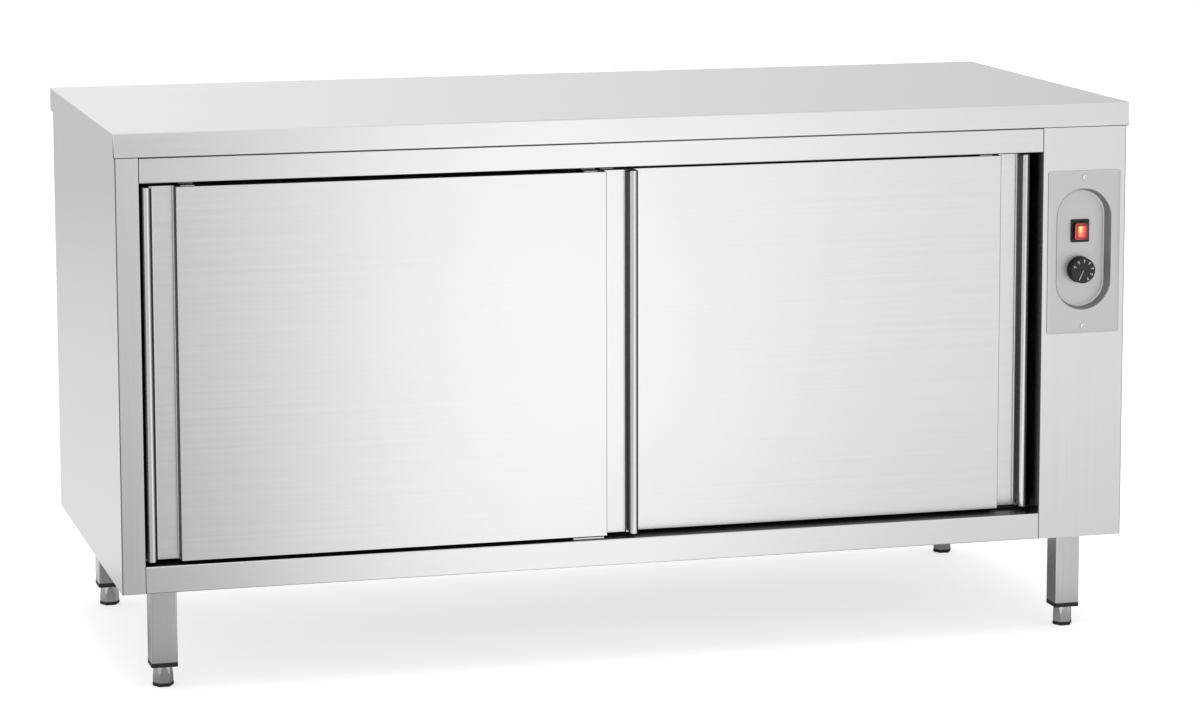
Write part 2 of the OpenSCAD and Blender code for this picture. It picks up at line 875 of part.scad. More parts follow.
// a high rocker whose ends are round about its pivot; at rest its lower half is pressed in
module rocker() {
    end_r = norm([rocker_h / 2, rocker_face]);
    low = 11; // how far the rocker reaches below its pivot
    color(red) on_column(switch_z) translate([rocker_w / 2, 0, rocker_axis])
        rotate([rocker_swing / 2, 0, 0]) rotate([0, -90, 0]) linear_extrude(rocker_w) intersection() {
            circle(end_r, $fn = 96);
            translate([-low, -rocker_h]) square([low + rocker_face, 2 * rocker_h]);
        }
}

// turned knob with a low skirt, a slightly tapered side and a rounded edge to its face
module knob() {
    r = knob_d / 2;
    edge_r = 1.2;
    face_r = r - 0.9;
    color(black) on_column(knob_z) translate([0, 0, dish_floor + 1])
        rotate_extrude($fn = 96) polygon(concat(
            [[shaft_r + eps, 0], [r - 1, 0], [r, 0.8], [r, 2.4]],
            arc(face_r - edge_r, knob_h - edge_r, edge_r, 0, 90, 5),
            [[0, knob_h], [0, knob_h - 2], [shaft_r + eps, knob_h - 2]]
        ));
}

module thermostat_shaft() {
    reach = 14; // behind the dish's floor
    color(bright) on_column(knob_z) translate([0, 0, dish_floor - reach])
        cylinder(h = reach + knob_h - 1.5, r = shaft_r);
}

module thermostat_body() {
    color([0.78, 0.78, 0.76]) on_column(knob_z) difference() {
        union() {
            translate([0, 0, dish_floor - plate_t - 1]) cylinder(h = 1, r = 9);
            translate([0, 0, dish_floor - plate_t - 30]) linear_extrude(29) rounded_square(36, 34, 3);
            for (y = [-8, 0, 8]) translate([-16, y, dish_floor - plate_t - 38]) cube([8, 0.8, 9]);
        }
        translate([0, 0, dish_floor - 15]) cylinder(h = 20, r = shaft_r + run_fit);
    }
}

bulb_y = fan_y + 90;
bulb_z = fan_z - 40;

// sensing bulb on two clips inside the cupboard, beside the fan's intake
module thermostat_bulb() {
    color(copper) {
        translate([open_r - 7, bulb_y, bulb_z - 45]) cylinder(h = 90, r = 3);
        translate([open_r - 7, bulb_y, bulb_z + 44]) cylinder(h = 14, r = 1);
        translate([open_r - 7, bulb_y, bulb_z + 57]) rotate([0, 90, 0]) cylinder(h = 7, r = 1);
        for (z = [-28, 28]) translate([open_r - 7, bulb_y - 4, bulb_z + z - 3]) cube([7, 8, 6]);
    }
}

// ---------- heater and wiring ----------

// sheet box round the fan and the element, open towards the partition
module air_duct() {
    wall_x = duct_x + duct_w - sheet;
    color(steel) difference() {
        block([duct_x, fan_y - duct_half_d, duct_z], [duct_x + duct_w, fan_y + duct_half_d, duct_top]);
        block(
            [duct_x - over, fan_y - duct_half_d + sheet, duct_z + sheet],
            [wall_x, fan_y + duct_half_d - sheet, duct_top - sheet]
        );
        translate([wall_x - over, fan_y, fan_z]) rotate([0, 90, 0]) cylinder(h = 3 * over, r = 12);
        for (s = [-1, 1]) translate([wall_x - over, fan_y + s * element_half, element_top])
            rotate([0, 90, 0]) cylinder(h = 3 * over, r = element_r + 0.3);
    }
}

module element_bend(angle) {
    rotate_extrude(angle = angle) translate([element_pitch / 2, 0]) circle(element_r);
}

// tubular element: upright runs joined by half-turns, with two ends through the duct's wall
module heating_element() {
    x = duct_x + duct_w / 2 - 6;
    low = duct_z + 24;
    bend = element_pitch / 2;
    color([0.42, 0.40, 0.38]) {
        for (i = [0 : element_runs - 1]) {
            end_run = i == 0 || i == element_runs - 1;
            translate([x, fan_y - element_half + i * element_pitch, low])
                cylinder(h = element_top - low - (end_run ? bend : 0), r = element_r);
        }
        for (i = [0 : element_runs - 2]) {
            up = i % 2 == 1;
            translate([x, fan_y - element_half + (i + 0.5) * element_pitch, up ? element_top : low])
                rotate([90, 0, 90]) element_bend(up ? 180 : -180);
        }
        for (s = [-1, 1]) translate([x + bend, fan_y + s * element_half, element_top - bend]) {
            rotate([90, 0, 0]) rotate(90) element_bend(90);
            translate([0, 0, bend]) rotate([0, 90, 0]) cylinder(h = duct_w / 2 + 6, r = element_r);
        }
    }
}

// shaded-pole motor on the duct's outer wall
module fan_motor() {
    x = duct_x + duct_w;
    color([0.35, 0.36, 0.38]) difference() {
        union() {
            translate([x, fan_y - 34, fan_z - 30]) cube([4, 68, 60]);
            translate([x + 4, fan_y - 26, fan_z - 26]) cube([34, 52, 52]);
            translate([x + 4, fan_y, fan_z]) rotate([0, 90, 0]) cylinder(h = 42, r = 20);
        }
        translate([x - over, fan_y, fan_z]) rotate([0, 90, 0]) cylinder(h = 40, r = shaft_r + run_fit);
    }
}

// bladed wheel on the motor's shaft, drawing through the partition and blowing outwards
module fan_rotor() {
    color(steel) translate([fan_x, fan_y, fan_z]) rotate([0, 90, 0]) {
        translate([0, 0, rotor_w - 2]) cylinder(h = 2, r = fan_d / 2);
        translate([0, 0, rotor_w - 14]) cylinder(h = 14, r = 10);
        translate([0, 0, rotor_w - 14]) cylinder(h = 44, r = shaft_r);
        difference() {
            cylinder(h = 2, r = fan_d / 2);
            translate([0, 0, -over]) cylinder(h = 2 + 2 * over, r = fan_d / 2 - 14);
        }
        for (i = [0 : blade_count - 1]) rotate(i * 360 / blade_count)
            translate([fan_d / 2 - 13, 0, 1]) rotate(30) translate([0, -0.6, 0]) cube([12, 1.2, rotor_w - 2]);
    }
}

module terminal_block() {
    color([0.90, 0.88, 0.80]) translate([column_x, liner_b - 48, body_z + sheet]) difference() {
        translate([-36, -12, 0]) cube([72, 24, 22]);
        for (i = [-2 : 2]) translate([i * 13, 0, 11]) cylinder(h = 20, r = 3);
    }
}

// flanged strain relief for a supply cord, in the back panel
module cable_gland() {
    color(black) on_back(column_x, gland_z) difference() {
        union() {
            translate([0, 0, -16]) cylinder(h = 16, r = gland_r - eps);
            translate([0, 0, -sheet - 5]) cylinder(h = 5, r = gland_r + 5, $fn = 6);
            cylinder(h = 3, r = gland_r + 4);
            translate([0, 0, 3]) cylinder(h = 6, r1 = gland_r + 2, r2 = gland_r - 1, $fn = 48);
        }
        translate([0, 0, -20]) cylinder(h = 40, r = 4.5);
    }
}

// ---------- legs and feet ----------

// square tube welded to a flat plate that is bolted under the body
module leg(corner) {
    flat = 70;
    flat_t = 3;
    bolt_pitch = 56;
    tube_h = body_z - leg_bottom;
    bore_w = leg_w - 2 * leg_wall;
    color(steel) translate([corner[0] * leg_x, corner[1] * leg_y, 0]) {
        translate([0, 0, leg_bottom]) difference() {
            linear_extrude(tube_h) rounded_square(leg_w, leg_w, 2.5);
            translate([0, 0, -over]) linear_extrude(tube_h - flat_t + over) rounded_square(bore_w, bore_w, 1);
        }
        difference() {
            translate([-flat / 2, -flat / 2, body_z - flat_t]) cube([flat, flat, flat_t]);
            for (sx = [-1, 1], sy = [-1, 1])
                translate([sx * bolt_pitch / 2, sy * bolt_pitch / 2, body_z - flat_t - over])
                    cylinder(h = flat_t + 2 * over, r = 3.3);
        }
    }
}

module leg_front_left() { leg(CORNERS[0]); }
module leg_front_right() { leg(CORNERS[1]); }
module leg_back_left() { leg(CORNERS[2]); }
module leg_back_right() { leg(CORNERS[3]); }

// plastic plugs pressed into the tubes, bored for the feet
module leg_caps() {
    plug = leg_w - 2 * leg_wall;
    color(black) for (c = CORNERS) translate([c[0] * leg_x, c[1] * leg_y, leg_bottom - cap_h]) difference() {
        union() {
            linear_extrude(cap_h) rounded_square(leg_w + 0.6, leg_w + 0.6, 3);
            translate([0, 0, cap_h - eps]) linear_extrude(24) rounded_square(plug, plug, 1);
        }
        translate([0, 0, -over]) cylinder(h = cap_h + 24 + 2 * over, r = stem_r + run_fit);
    }
}

// threaded stem with a steel sleeve that is round at its top and six-sided at its foot
module foot(corner) {
    top_r = 13.7;
    low_r = 15.8;
    color(bright) translate([corner[0] * leg_x, corner[1] * leg_y, pad_h]) {
        intersection() {
            cylinder(h = sleeve_h, r1 = low_r + 1, r2 = top_r, $fn = 60);
            cylinder(h = sleeve_h, r = low_r, $fn = 6);
        }
        translate([0, 0, sleeve_h - eps]) cylinder(h = stem_h, r = stem_r);
    }
}

module foot_front_left() { foot(CORNERS[0]); }
module foot_front_right() { foot(CORNERS[1]); }
module foot_back_left() { foot(CORNERS[2]); }
module foot_back_right() { foot(CORNERS[3]); }

// hard plastic pad under the sleeve, with a chamfered foot
module pad(corner) {
    color(black) translate([corner[0] * leg_x, corner[1] * leg_y, 0]) {
        cylinder(h = 2, r1 = 15, r2 = 16.6, $fn = 6);
        translate([0, 0, 2]) cylinder(h = pad_h - 2, r = 16.6, $fn = 6);
    }
}

module pad_front_left() { pad(CORNERS[0]); }
module pad_front_right() { pad(CORNERS[1]); }
module pad_back_left() { pad(CORNERS[2]); }
module pad_back_right() { pad(CORNERS[3]); }

worktop();
worktop_core();
left_side_panel();
right_side_panel();
back_panel();
base_tray();
bottom_front_rail();
top_front_rail();
inner_floor();
left_liner();
back_liner();
ceiling_liner();
partition_wall();
front_track();
rear_track();
track_stops();
door_guide();
shelf();
shelf_rests();
control_plate();
panel_screws();
switch_housing();
thermostat_body();
thermostat_bulb();
fan_motor();
air_duct();
heating_element();
terminal_block();
cable_gland();
leg_front_left();
leg_front_right();
leg_back_left();
leg_back_right();
leg_caps();
foot_front_left();
foot_front_right();
foot_back_left();
foot_back_right();
pad_front_left();
pad_front_right();
pad_back_left();
pad_back_right();
left_door_front();
left_door_back();
left_door_core();
left_door_hangers();
left_door_pins();
left_door_roller_left();
left_door_roller_right();
right_door_front();
right_door_back();
right_door_core();
right_door_hangers();
right_door_pins();
right_door_roller_left();
right_door_roller_right();
rocker();
knob();
thermostat_shaft();
fan_rotor();
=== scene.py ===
import json
from math import asin, atan2, cos, degrees, pi, radians, sin, tan, tau

import bmesh
import bpy
from mathutils import Matrix, Vector
from mathutils.geometry import tessellate_polygon


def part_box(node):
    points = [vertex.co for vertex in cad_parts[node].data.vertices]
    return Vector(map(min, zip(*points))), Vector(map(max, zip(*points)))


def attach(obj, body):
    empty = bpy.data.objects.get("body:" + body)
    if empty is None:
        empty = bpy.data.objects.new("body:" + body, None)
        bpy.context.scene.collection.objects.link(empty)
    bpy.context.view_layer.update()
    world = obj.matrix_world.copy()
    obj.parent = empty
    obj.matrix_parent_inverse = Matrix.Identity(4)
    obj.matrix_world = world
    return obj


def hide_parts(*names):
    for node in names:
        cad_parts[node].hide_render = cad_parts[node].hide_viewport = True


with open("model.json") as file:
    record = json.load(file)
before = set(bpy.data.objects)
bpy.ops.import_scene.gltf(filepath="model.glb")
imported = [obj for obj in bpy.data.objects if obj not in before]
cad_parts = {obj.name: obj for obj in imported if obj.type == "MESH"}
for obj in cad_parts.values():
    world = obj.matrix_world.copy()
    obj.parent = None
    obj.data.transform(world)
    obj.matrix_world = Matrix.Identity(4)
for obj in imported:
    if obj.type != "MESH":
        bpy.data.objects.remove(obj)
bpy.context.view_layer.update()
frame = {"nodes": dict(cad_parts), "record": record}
bodyOf = {}
for body, nodes in frame["record"]["behaviour"]["bodies"].items():
    bodyOf.update({node: body for node in nodes})
scene = bpy.context.scene
scene.view_settings.view_transform = "Standard"
print("frame loaded:", len(frame["nodes"]), "nodes")

# a long lens from the left and a little above, as the photograph was taken
photo = {
    "width": 1200,            # pixels
    "rows": 723,
    "focalPixels": 3940.6,
    "centreRow": 240.0,       # row of the lens axis
    "place": (-1.6238, -6.0628, 1.4946),
    "yaw": 0.2670,            # radians to the right of +Y
    "pitch": 0.1393,          # radians downwards
    "roll": -0.0019,
}


def makeCamera():
    lens = bpy.data.cameras.new("photoCamera")
    lens.sensor_width = 36
    lens.lens = 36 * photo["focalPixels"] / photo["width"]
    lens.shift_y = -(photo["rows"] / 2 - photo["centreRow"]) / photo["width"]
    lens.clip_end = 200
    camera = bpy.data.objects.new("photoCamera", lens)
    turn = (
        Matrix.Rotation(-photo["yaw"], 4, "Z")
        @ Matrix.Rotation(pi / 2 - photo["pitch"], 4, "X")
        @ Matrix.Rotation(photo["roll"], 4, "Z")
    )
    camera.matrix_world = Matrix.Translation(photo["place"]) @ turn
    scene.collection.objects.link(camera)
    scene.camera = camera


# sets a node's inputs to values, or joins them to other nodes' outputs
def feed(tree, node, inputs):
    for key, value in inputs.items():
        if hasattr(value, "is_output"):
            tree.links.new(value, node.inputs[key])
        else:
            node.inputs[key].default_value = value


def addNode(tree, kind, inputs=None, **settings):
    made = tree.nodes.new(kind)
    for key, value in settings.items():
        setattr(made, key, value)
    feed(tree, made, inputs or {})
    return made


def newGroup(name, inputs, outputs):
    group = bpy.data.node_groups.new(name, "ShaderNodeTree")
    for label, kind, start in inputs:
        made = group.interface.new_socket(label, in_out="INPUT", socket_type="NodeSocket" + kind)
        if start is not None:
            made.default_value = start
    for label, kind in outputs:
        group.interface.new_socket(label, in_out="OUTPUT", socket_type="NodeSocket" + kind)
    return group, addNode(group, "NodeGroupInput").outputs, addNode(group, "NodeGroupOutput").inputs


def placeGroup(tree, group, **inputs):
    return addNode(tree, "ShaderNodeGroup", inputs, node_tree=group).outputs


def math(tree, operation, first, second=0.0, third=0.0):
    return addNode(tree, "ShaderNodeMath", {0: first, 1: second, 2: third}, operation=operation).outputs[0]


def plus(tree, first, second):
    return math(tree, "ADD", first, second)


def minus(tree, first, second):
    return math(tree, "SUBTRACT", first, second)


def times(tree, first, second):
    return math(tree, "MULTIPLY", first, second)


def axes(tree, vector):
    return addNode(tree, "ShaderNodeSeparateXYZ", {0: vector}).outputs


def scaled(tree, vector, share):
    return addNode(tree, "ShaderNodeVectorMath", {0: vector, "Scale": share}, operation="SCALE").outputs[0]


# of two colours, the second by its share
def blended(tree, share, first, second):
    inputs = {"Factor": share, 6: first, 7: second}
    return addNode(tree, "ShaderNodeMix", inputs, data_type="RGBA").outputs[2]


def bumped(tree, height, strength, relief):
    inputs = {"Strength": strength, "Distance": relief, "Height": height}
    return addNode(tree, "ShaderNodeBump", inputs).outputs["Normal"]


def stretched(tree, vector, x, y, z=1.0):
    scale = addNode(tree, "ShaderNodeCombineXYZ", {0: x, 1: y, 2: z}).outputs[0]
    return addNode(tree, "ShaderNodeVectorMath", {0: vector, 1: scale}, operation="MULTIPLY").outputs[0]


def noise(tree, vector, scale, detail=2.0, rough=0.5):
    settings = {"Vector": vector, "Scale": scale, "Detail": detail, "Roughness": rough}
    return addNode(tree, "ShaderNodeTexNoise", settings).outputs["Fac"]


def remap(tree, value, low, high, newLow, newHigh):
    settings = {"Value": value, "From Min": low, "From Max": high, "To Min": newLow, "To Max": newHigh}
    return addNode(tree, "ShaderNodeMapRange", settings).outputs["Result"]


def ramp(tree, value, stops):
    made = addNode(tree, "ShaderNodeValToRGB", {"Fac": value})
    points = made.color_ramp.elements
    while len(points) < len(stops):
        points.new(0.5)
    for point, (place, colour) in zip(points, stops):
        point.position = place
        point.color = (*colour, 1.0)
    return made.outputs["Color"]


# the strokes of a brushed sheet, fine and broad, along U of a map in metres
def makeBrushedGrain():
    group, given, out = newGroup(
        "brushedGrain",
        [
            ("Vector", "Vector", None), ("Lines", "Float", 2200.0),
            ("Run", "Float", 14.0), ("Depth", "Float", 0.5),
        ],
        [("Tone", "Float"), ("Polish", "Float"), ("Height", "Float")],
    )
    vector, lines, run, depth = given["Vector"], given["Lines"], given["Run"], given["Depth"]
    fine = noise(group, stretched(group, vector, run, lines), 1.0, 2.0, 0.6)
    wideRun = times(group, run, 0.12)
    wideLines = times(group, lines, 0.12)
    bands = noise(group, stretched(group, vector, wideRun, wideLines), 1.0, 3.0, 0.6)
    cloud = noise(group, stretched(group, vector, 1.3, 4.0), 1.0, 3.0, 0.5)
    mixed = plus(group, times(group, fine, 0.4), times(group, bands, 0.6))
    centred = times(group, minus(group, mixed, 0.5), depth)
    polish = plus(group, times(group, bands, 0.5), times(group, cloud, 0.5))
    group.links.new(plus(group, centred, 0.5), out["Tone"])
    group.links.new(polish, out["Polish"])
    group.links.new(fine, out["Height"])
    return group


# faint smears where hands and cloths have passed
def makeHandMarks():
    inputs = [("Vector", "Vector", None), ("Size", "Float", 9.0)]
    group, given, out = newGroup("handMarks", inputs, [("Mask", "Float")])
    broad = noise(group, given["Vector"], given["Size"], 2.0, 0.5)
    small = noise(group, stretched(group, given["Vector"], 1.0, 1.0, 2.6), 34.0, 3.0, 0.6)
    broad = remap(group, broad, 0.45, 0.8, 0.0, 1.0)
    small = remap(group, small, 0.3, 0.8, 0.0, 1.0)
    group.links.new(times(group, broad, small), out["Mask"])
    return group


# the fine sparked skin of a moulded plastic
def makeMouldGrain():
    group, given, out = newGroup(
        "mouldGrain",
        [("Vector", "Vector", None), ("Grains", "Float", 2600.0)],
        [("Height", "Float"), ("Cloud", "Float")],
    )
    cells = addNode(group, "ShaderNodeTexVoronoi", {"Vector": given["Vector"], "Scale": given["Grains"]})
    fine = noise(group, given["Vector"], 3500.0, 2.0, 0.5)
    height = plus(group, cells.outputs["Distance"], times(group, fine, 0.4))
    group.links.new(height, out["Height"])
    group.links.new(noise(group, given["Vector"], 60.0, 4.0, 0.6), out["Cloud"])
    return group


brushedGrain = makeBrushedGrain()
handMarks = makeHandMarks()
mouldGrain = makeMouldGrain()


def newMaterial(name):
    material = bpy.data.materials.new(name)
    material.use_nodes = True
    tree = material.node_tree
    tree.nodes.clear()
    shader = addNode(tree, "ShaderNodeBsdfPrincipled")
    addNode(tree, "ShaderNodeOutputMaterial", {"Surface": shader.outputs["BSDF"]})
    return material, tree, shader


def grainMap(tree):
    return addNode(tree, "ShaderNodeUVMap", uv_map="grain").outputs["UV"]


def objectPlace(tree):
    return addNode(tree, "ShaderNodeTexCoord").outputs["Object"]


def grey(level, warm=0.0):
    return (level * (1 + warm), level, level * (1 - warm))


# painted shade where a sheet is bent, standing in for the dark lines that bends show: whether to both
# sides and to below, from and to how much of a turn, and the share of the brightness left there
edgeBend = {"bothWays": True, "under": False, "from": 0.12, "to": 0.42, "left": 0.20}
topBendShade = {"bothWays": True, "under": True, "from": 0.12, "to": 0.42, "left": 0.20}
doorBendShade = {"bothWays": False, "under": False, "from": 0.22, "to": 0.46, "left": 0.24}
dishBendShade = {"bothWays": True, "under": False, "from": 0.415, "to": 0.495, "left": 0.28}
# tones: of the grain's dark and light, lines: to the metre across, run: strokes to the metre along,
# depth: contrast of the strokes, drawn: how far the highlights are drawn out across them
sheetFinish = {
    "worktopSteel": {
        "tones": (0.82, 0.89), "rough": 0.22, "lines": 1800,
        "run": 9, "depth": 0.7, "bend": topBendShade,
    },
    "doorSteel": {
        "tones": (0.82, 0.90), "rough": 0.22, "lines": 2200,
        "run": 7, "depth": 0.9, "bend": doorBendShade,
    },
    "bodySteel": {
        "tones": (0.82, 0.89), "rough": 0.21, "lines": 2000,
        "run": 9, "depth": 0.8, "bend": edgeBend,
    },
    "railSteel": {"tones": (0.82, 0.89), "rough": 0.21, "lines": 2000, "run": 9, "depth": 0.8},
    "plateSteel": {
        "tones": (0.70, 0.75), "rough": 0.40, "lines": 3000,
        "run": 24, "depth": 0.4, "drawn": 0.2, "bend": dishBendShade, "metal": 0.8,
    },
    "liningSteel": {
        "tones": (0.66, 0.78), "rough": 0.34, "lines": 1500,
        "run": 8, "depth": 1.3, "metal": 0.6,
    },
    "brightSteel": {
        "tones": (0.66, 0.78), "rough": 0.22, "lines": 2600,
        "run": 60, "depth": 0.9, "drawn": 0.2,
    },
    "polishedSteel": {
        "tones": (0.88, 0.95), "rough": 0.14, "lines": 2600,
        "run": 60, "depth": 0.5, "drawn": 0.0,
    },
    # the hangers' darker tones are painted shade, for the gap over the door that they sit in
    "hangerSteelPaintedShade": {
        "tones": (0.56, 0.68), "rough": 0.36, "lines": 1600,
        "run": 60, "depth": 1.0, "drawn": 0.2,
    },
}


# painted shade: the colour is darkened where a sheet is bent, by how far its face has turned towards a
# side or under
def paintedBendShade(tree, colour, bend):
    normal = addNode(tree, "ShaderNodeNewGeometry").outputs["Normal"]
    parts = axes(tree, normal)
    aside = math(tree, "ABSOLUTE", parts[0]) if bend["bothWays"] else parts[0]
    if bend["under"]:
        aside = math(tree, "MAXIMUM", aside, times(tree, parts[2], -1.0))
    across = times(tree, aside, math(tree, "ABSOLUTE", parts[1]))
    share = remap(tree, across, bend["from"], bend["to"], 1.0, bend["left"])
    return scaled(tree, colour, share)


def coat(tree, shader, colour, rough, normal, more):
    feed(tree, shader, {"Base Color": colour, "Roughness": rough, "Normal": normal, **more})


def makeSheetSteel(name):
    finish = sheetFinish[name]
    material, tree, shader = newMaterial(name)
    settings = {"Lines": finish["lines"], "Run": finish["run"], "Depth": finish["depth"]}
    grain = placeGroup(tree, brushedGrain, Vector=grainMap(tree), **settings)
    marks = placeGroup(tree, handMarks, Vector=objectPlace(tree), Size=5.0)
    low, high = finish["tones"]
    colour = ramp(tree, grain["Tone"], [(0.15, grey(low, 0.004)), (0.85, grey(high, -0.003))])
    # painted shade at the sheet's bends
    if "bend" in finish:
        colour = paintedBendShade(tree, colour, finish["bend"])
    polished = remap(tree, grain["Polish"], 0.3, 0.7, finish["rough"] - 0.03, finish["rough"] + 0.03)
    rough = plus(tree, polished, times(tree, marks["Mask"], 0.035))
    tangent = addNode(tree, "ShaderNodeTangent", direction_type="UV_MAP", uv_map="grain")
    more = {
        "Metallic": finish.get("metal", 1.0),
        "Anisotropic": finish.get("drawn", 0.4),
        "Anisotropic Rotation": 0.25,
        "Tangent": tangent.outputs["Tangent"],
    }
    coat(tree, shader, colour, rough, bumped(tree, grain["Height"], 0.12, 0.00003), more)
    return material


# name: dark and light tone, roughness, grains to the metre, relief in metres
plasticFinish = {
    "padPlastic": {"tones": (0.012, 0.030), "rough": 0.52, "grains": 1800, "relief": 0.00012},
    "controlPlastic": {"tones": (0.016, 0.030), "rough": 0.42, "grains": 3200, "relief": 0.00005},
    "rollerNylon": {"tones": (0.030, 0.052), "rough": 0.45, "grains": 2400, "relief": 0.00004},
    "stopRubber": {"tones": (0.016, 0.034), "rough": 0.78, "grains": 1500, "relief": 0.00015},
}


def makePlastic(name):
    finish = plasticFinish[name]
    material, tree, shader = newMaterial(name)
    place = objectPlace(tree)
    grain = placeGroup(tree, mouldGrain, Vector=place, Grains=finish["grains"])
    marks = placeGroup(tree, handMarks, Vector=place, Size=60.0)
    low, high = finish["tones"]
    colour = ramp(tree, grain["Cloud"], [(0.3, grey(low)), (0.75, grey(high, 0.02))])
    rough = remap(tree, grain["Cloud"], 0.3, 0.7, finish["rough"] - 0.07, finish["rough"] + 0.07)
    worn = minus(tree, rough, times(tree, marks["Mask"], 0.08))
    coat(tree, shader, colour, worn, bumped(tree, grain["Height"], 0.35, finish["relief"]), {})
    return material


def makeGalvanised():
    material, tree, shader = newMaterial("galvanisedSheet")
    place = objectPlace(tree)
    cells = addNode(tree, "ShaderNodeTexVoronoi", {"Vector": place, "Scale": 110.0})
    tone = addNode(tree, "ShaderNodeSeparateColor", {"Color": cells.outputs["Color"]}).outputs[0]
    colour = ramp(tree, tone, [(0.0, (0.42, 0.44, 0.46)), (1.0, (0.66, 0.68, 0.70))])
    rough = remap(tree, plus(tree, tone, noise(tree, place, 40.0)), 0.3, 1.6, 0.28, 0.52)
    coat(tree, shader, colour, rough, bumped(tree, tone, 0.2, 0.00005), {"Metallic": 1.0})
    return material


# name: metal or not, dark and light colour, roughness, clouds to the metre, relief in metres
mottledFinish = {
    "rawBoard": (0.0, (0.30, 0.21, 0.12), (0.52, 0.40, 0.26), 0.8, 90.0, 0.0004),
    "mineralWool": (0.0, (0.52, 0.45, 0.24), (0.78, 0.70, 0.44), 0.9, 140.0, 0.0012),
    "elementSteel": (1.0, (0.20, 0.17, 0.15), (0.38, 0.35, 0.33), 0.45, 60.0, 0.00004),
    "motorLacquer": (0.6, (0.20, 0.21, 0.22), (0.36, 0.37, 0.38), 0.4, 80.0, 0.00006),
    "drawnCopper": (1.0, (0.60, 0.34, 0.20), (0.82, 0.52, 0.34), 0.3, 120.0, 0.00003),
    "terminalCream": (0.0, (0.74, 0.71, 0.60), (0.86, 0.83, 0.73), 0.45, 200.0, 0.00003),
    "whiteInk": (0.0, (0.62, 0.62, 0.62), (0.84, 0.84, 0.84), 0.5, 900.0, 0.00001),
}


# a plain cast, drawn, felted or printed finish: clouds of tone with a matching bump
def makeMottled(name):
    metallic, dark, light, rough, scale, relief = mottledFinish[name]
    material, tree, shader = newMaterial(name)
    place = objectPlace(tree)
    cloud = noise(tree, place, scale, 5.0, 0.65)
    fine = noise(tree, place, scale * 14, 3.0, 0.6)
    mixed = plus(tree, times(tree, cloud, 0.6), times(tree, fine, 0.4))
    colour = ramp(tree, mixed, [(0.3, dark), (0.7, light)])
    spread = remap(tree, mixed, 0.3, 0.7, rough - 0.08, rough + 0.08)
    coat(tree, shader, colour, spread, bumped(tree, mixed, 0.5, relief), {"Metallic": metallic})
    return material


# translucent red over a small lamp, with the flutes of the moulding inside; the glow round its rim is a
# painted highlight
lensGlow = {
    "lampOffset": (-0.0035, 0.0048),   # from the lens's middle, to the right and up
    "window": (0.0074, 0.0090),        # half sizes of the lit window
    "windowOffset": (0.0004, -0.0007),
    "rim": (0.0111, 0.0133),           # half sizes of the lens
    "soft": 0.0012,
    "rimFade": (0.86, 0.93),           # share of the rim's half size over which the painted highlight on the rim darkens inwards
    "lampTall": 0.62,                  # the hot spot's width for its height
    "flutes": 620.0,                   # to the metre
    "fluteDepth": 0.0009,
    "grit": 0.0075,
    "glowReach": 0.014,
    "paintedRimFade": (0.0, 0.0095),       # the painted highlight on the rim is darker to the right
    "fade": (0.0040, 0.0080),
    "fadeLeft": 0.15,
    "strength": 1.0,
}


def makeLitRed(centre):
    material, tree, shader = newMaterial("litRed")
    place = objectPlace(tree)
    parts = axes(tree, place)
    right = minus(tree, parts[0], centre.x)
    up = minus(tree, parts[2], centre.z)
    soft = lensGlow["soft"]
    masks = []
    shares = []
    for i, distance in enumerate((right, up)):
        half = lensGlow["window"][i]
        away = math(tree, "ABSOLUTE", minus(tree, distance, lensGlow["windowOffset"][i]))
        masks.append(remap(tree, away, half - soft, half + soft, 1.0, 0.0))
        shares.append(math(tree, "DIVIDE", math(tree, "ABSOLUTE", distance), lensGlow["rim"][i]))
    window = times(tree, masks[0], masks[1])
    rim = remap(tree, math(tree, "MAXIMUM", shares[0], shares[1]), *lensGlow["rimFade"], 0.0, 1.0)
    lampRight, lampUp = lensGlow["lampOffset"]
    offRight = minus(tree, right, lampRight)
    offUp = times(tree, minus(tree, up, lampUp), lensGlow["lampTall"])
    squares = plus(tree, math(tree, "POWER", offRight, 2.0), math(tree, "POWER", offUp, 2.0))
    wave = math(tree, "SINE", times(tree, right, lensGlow["flutes"]))
    wave = times(tree, wave, lensGlow["fluteDepth"])
    grit = times(tree, minus(tree, noise(tree, place, 380.0, 3.0), 0.5), lensGlow["grit"])
    away = plus(tree, math(tree, "SQRT", squares), plus(tree, wave, grit))
    hot, warm = (1.0, 0.86, 0.42), (1.0, 0.55, 0.14)
    red, dark = (0.90, 0.13, 0.09), (0.42, 0.02, 0.02)
    reach = math(tree, "DIVIDE", away, lensGlow["glowReach"])
    heart = ramp(tree, reach, [(0.06, hot), (0.26, warm), (0.50, red), (1.0, dark)])
    # painted highlight on the lens's rim, brightest at its edge on the left
    lit = times(tree, rim, remap(tree, right, *lensGlow["paintedRimFade"], 1.0, 0.1))
    paintedRimHighlight = ramp(tree, lit, [(0.0, (0.085, 0.003, 0.005)), (1.0, (0.60, 0.11, 0.12))])
    fading = remap(tree, right, *lensGlow["fade"], 1.0, lensGlow["fadeLeft"])
    cloud = noise(tree, place, 240.0, 3.0)
    inputs = {
        "Emission Color": scaled(tree, blended(tree, window, paintedRimHighlight, heart), fading),
        "Emission Strength": lensGlow["strength"],
        "Base Color": ramp(tree, cloud, [(0.3, (0.22, 0.014, 0.018)), (0.7, (0.32, 0.024, 0.030))]),
        "Roughness": remap(tree, noise(tree, place, 90.0), 0.3, 0.7, 0.20, 0.30),
        "Coat Weight": 0.4,
    }
    feed(tree, shader, inputs)
    return material


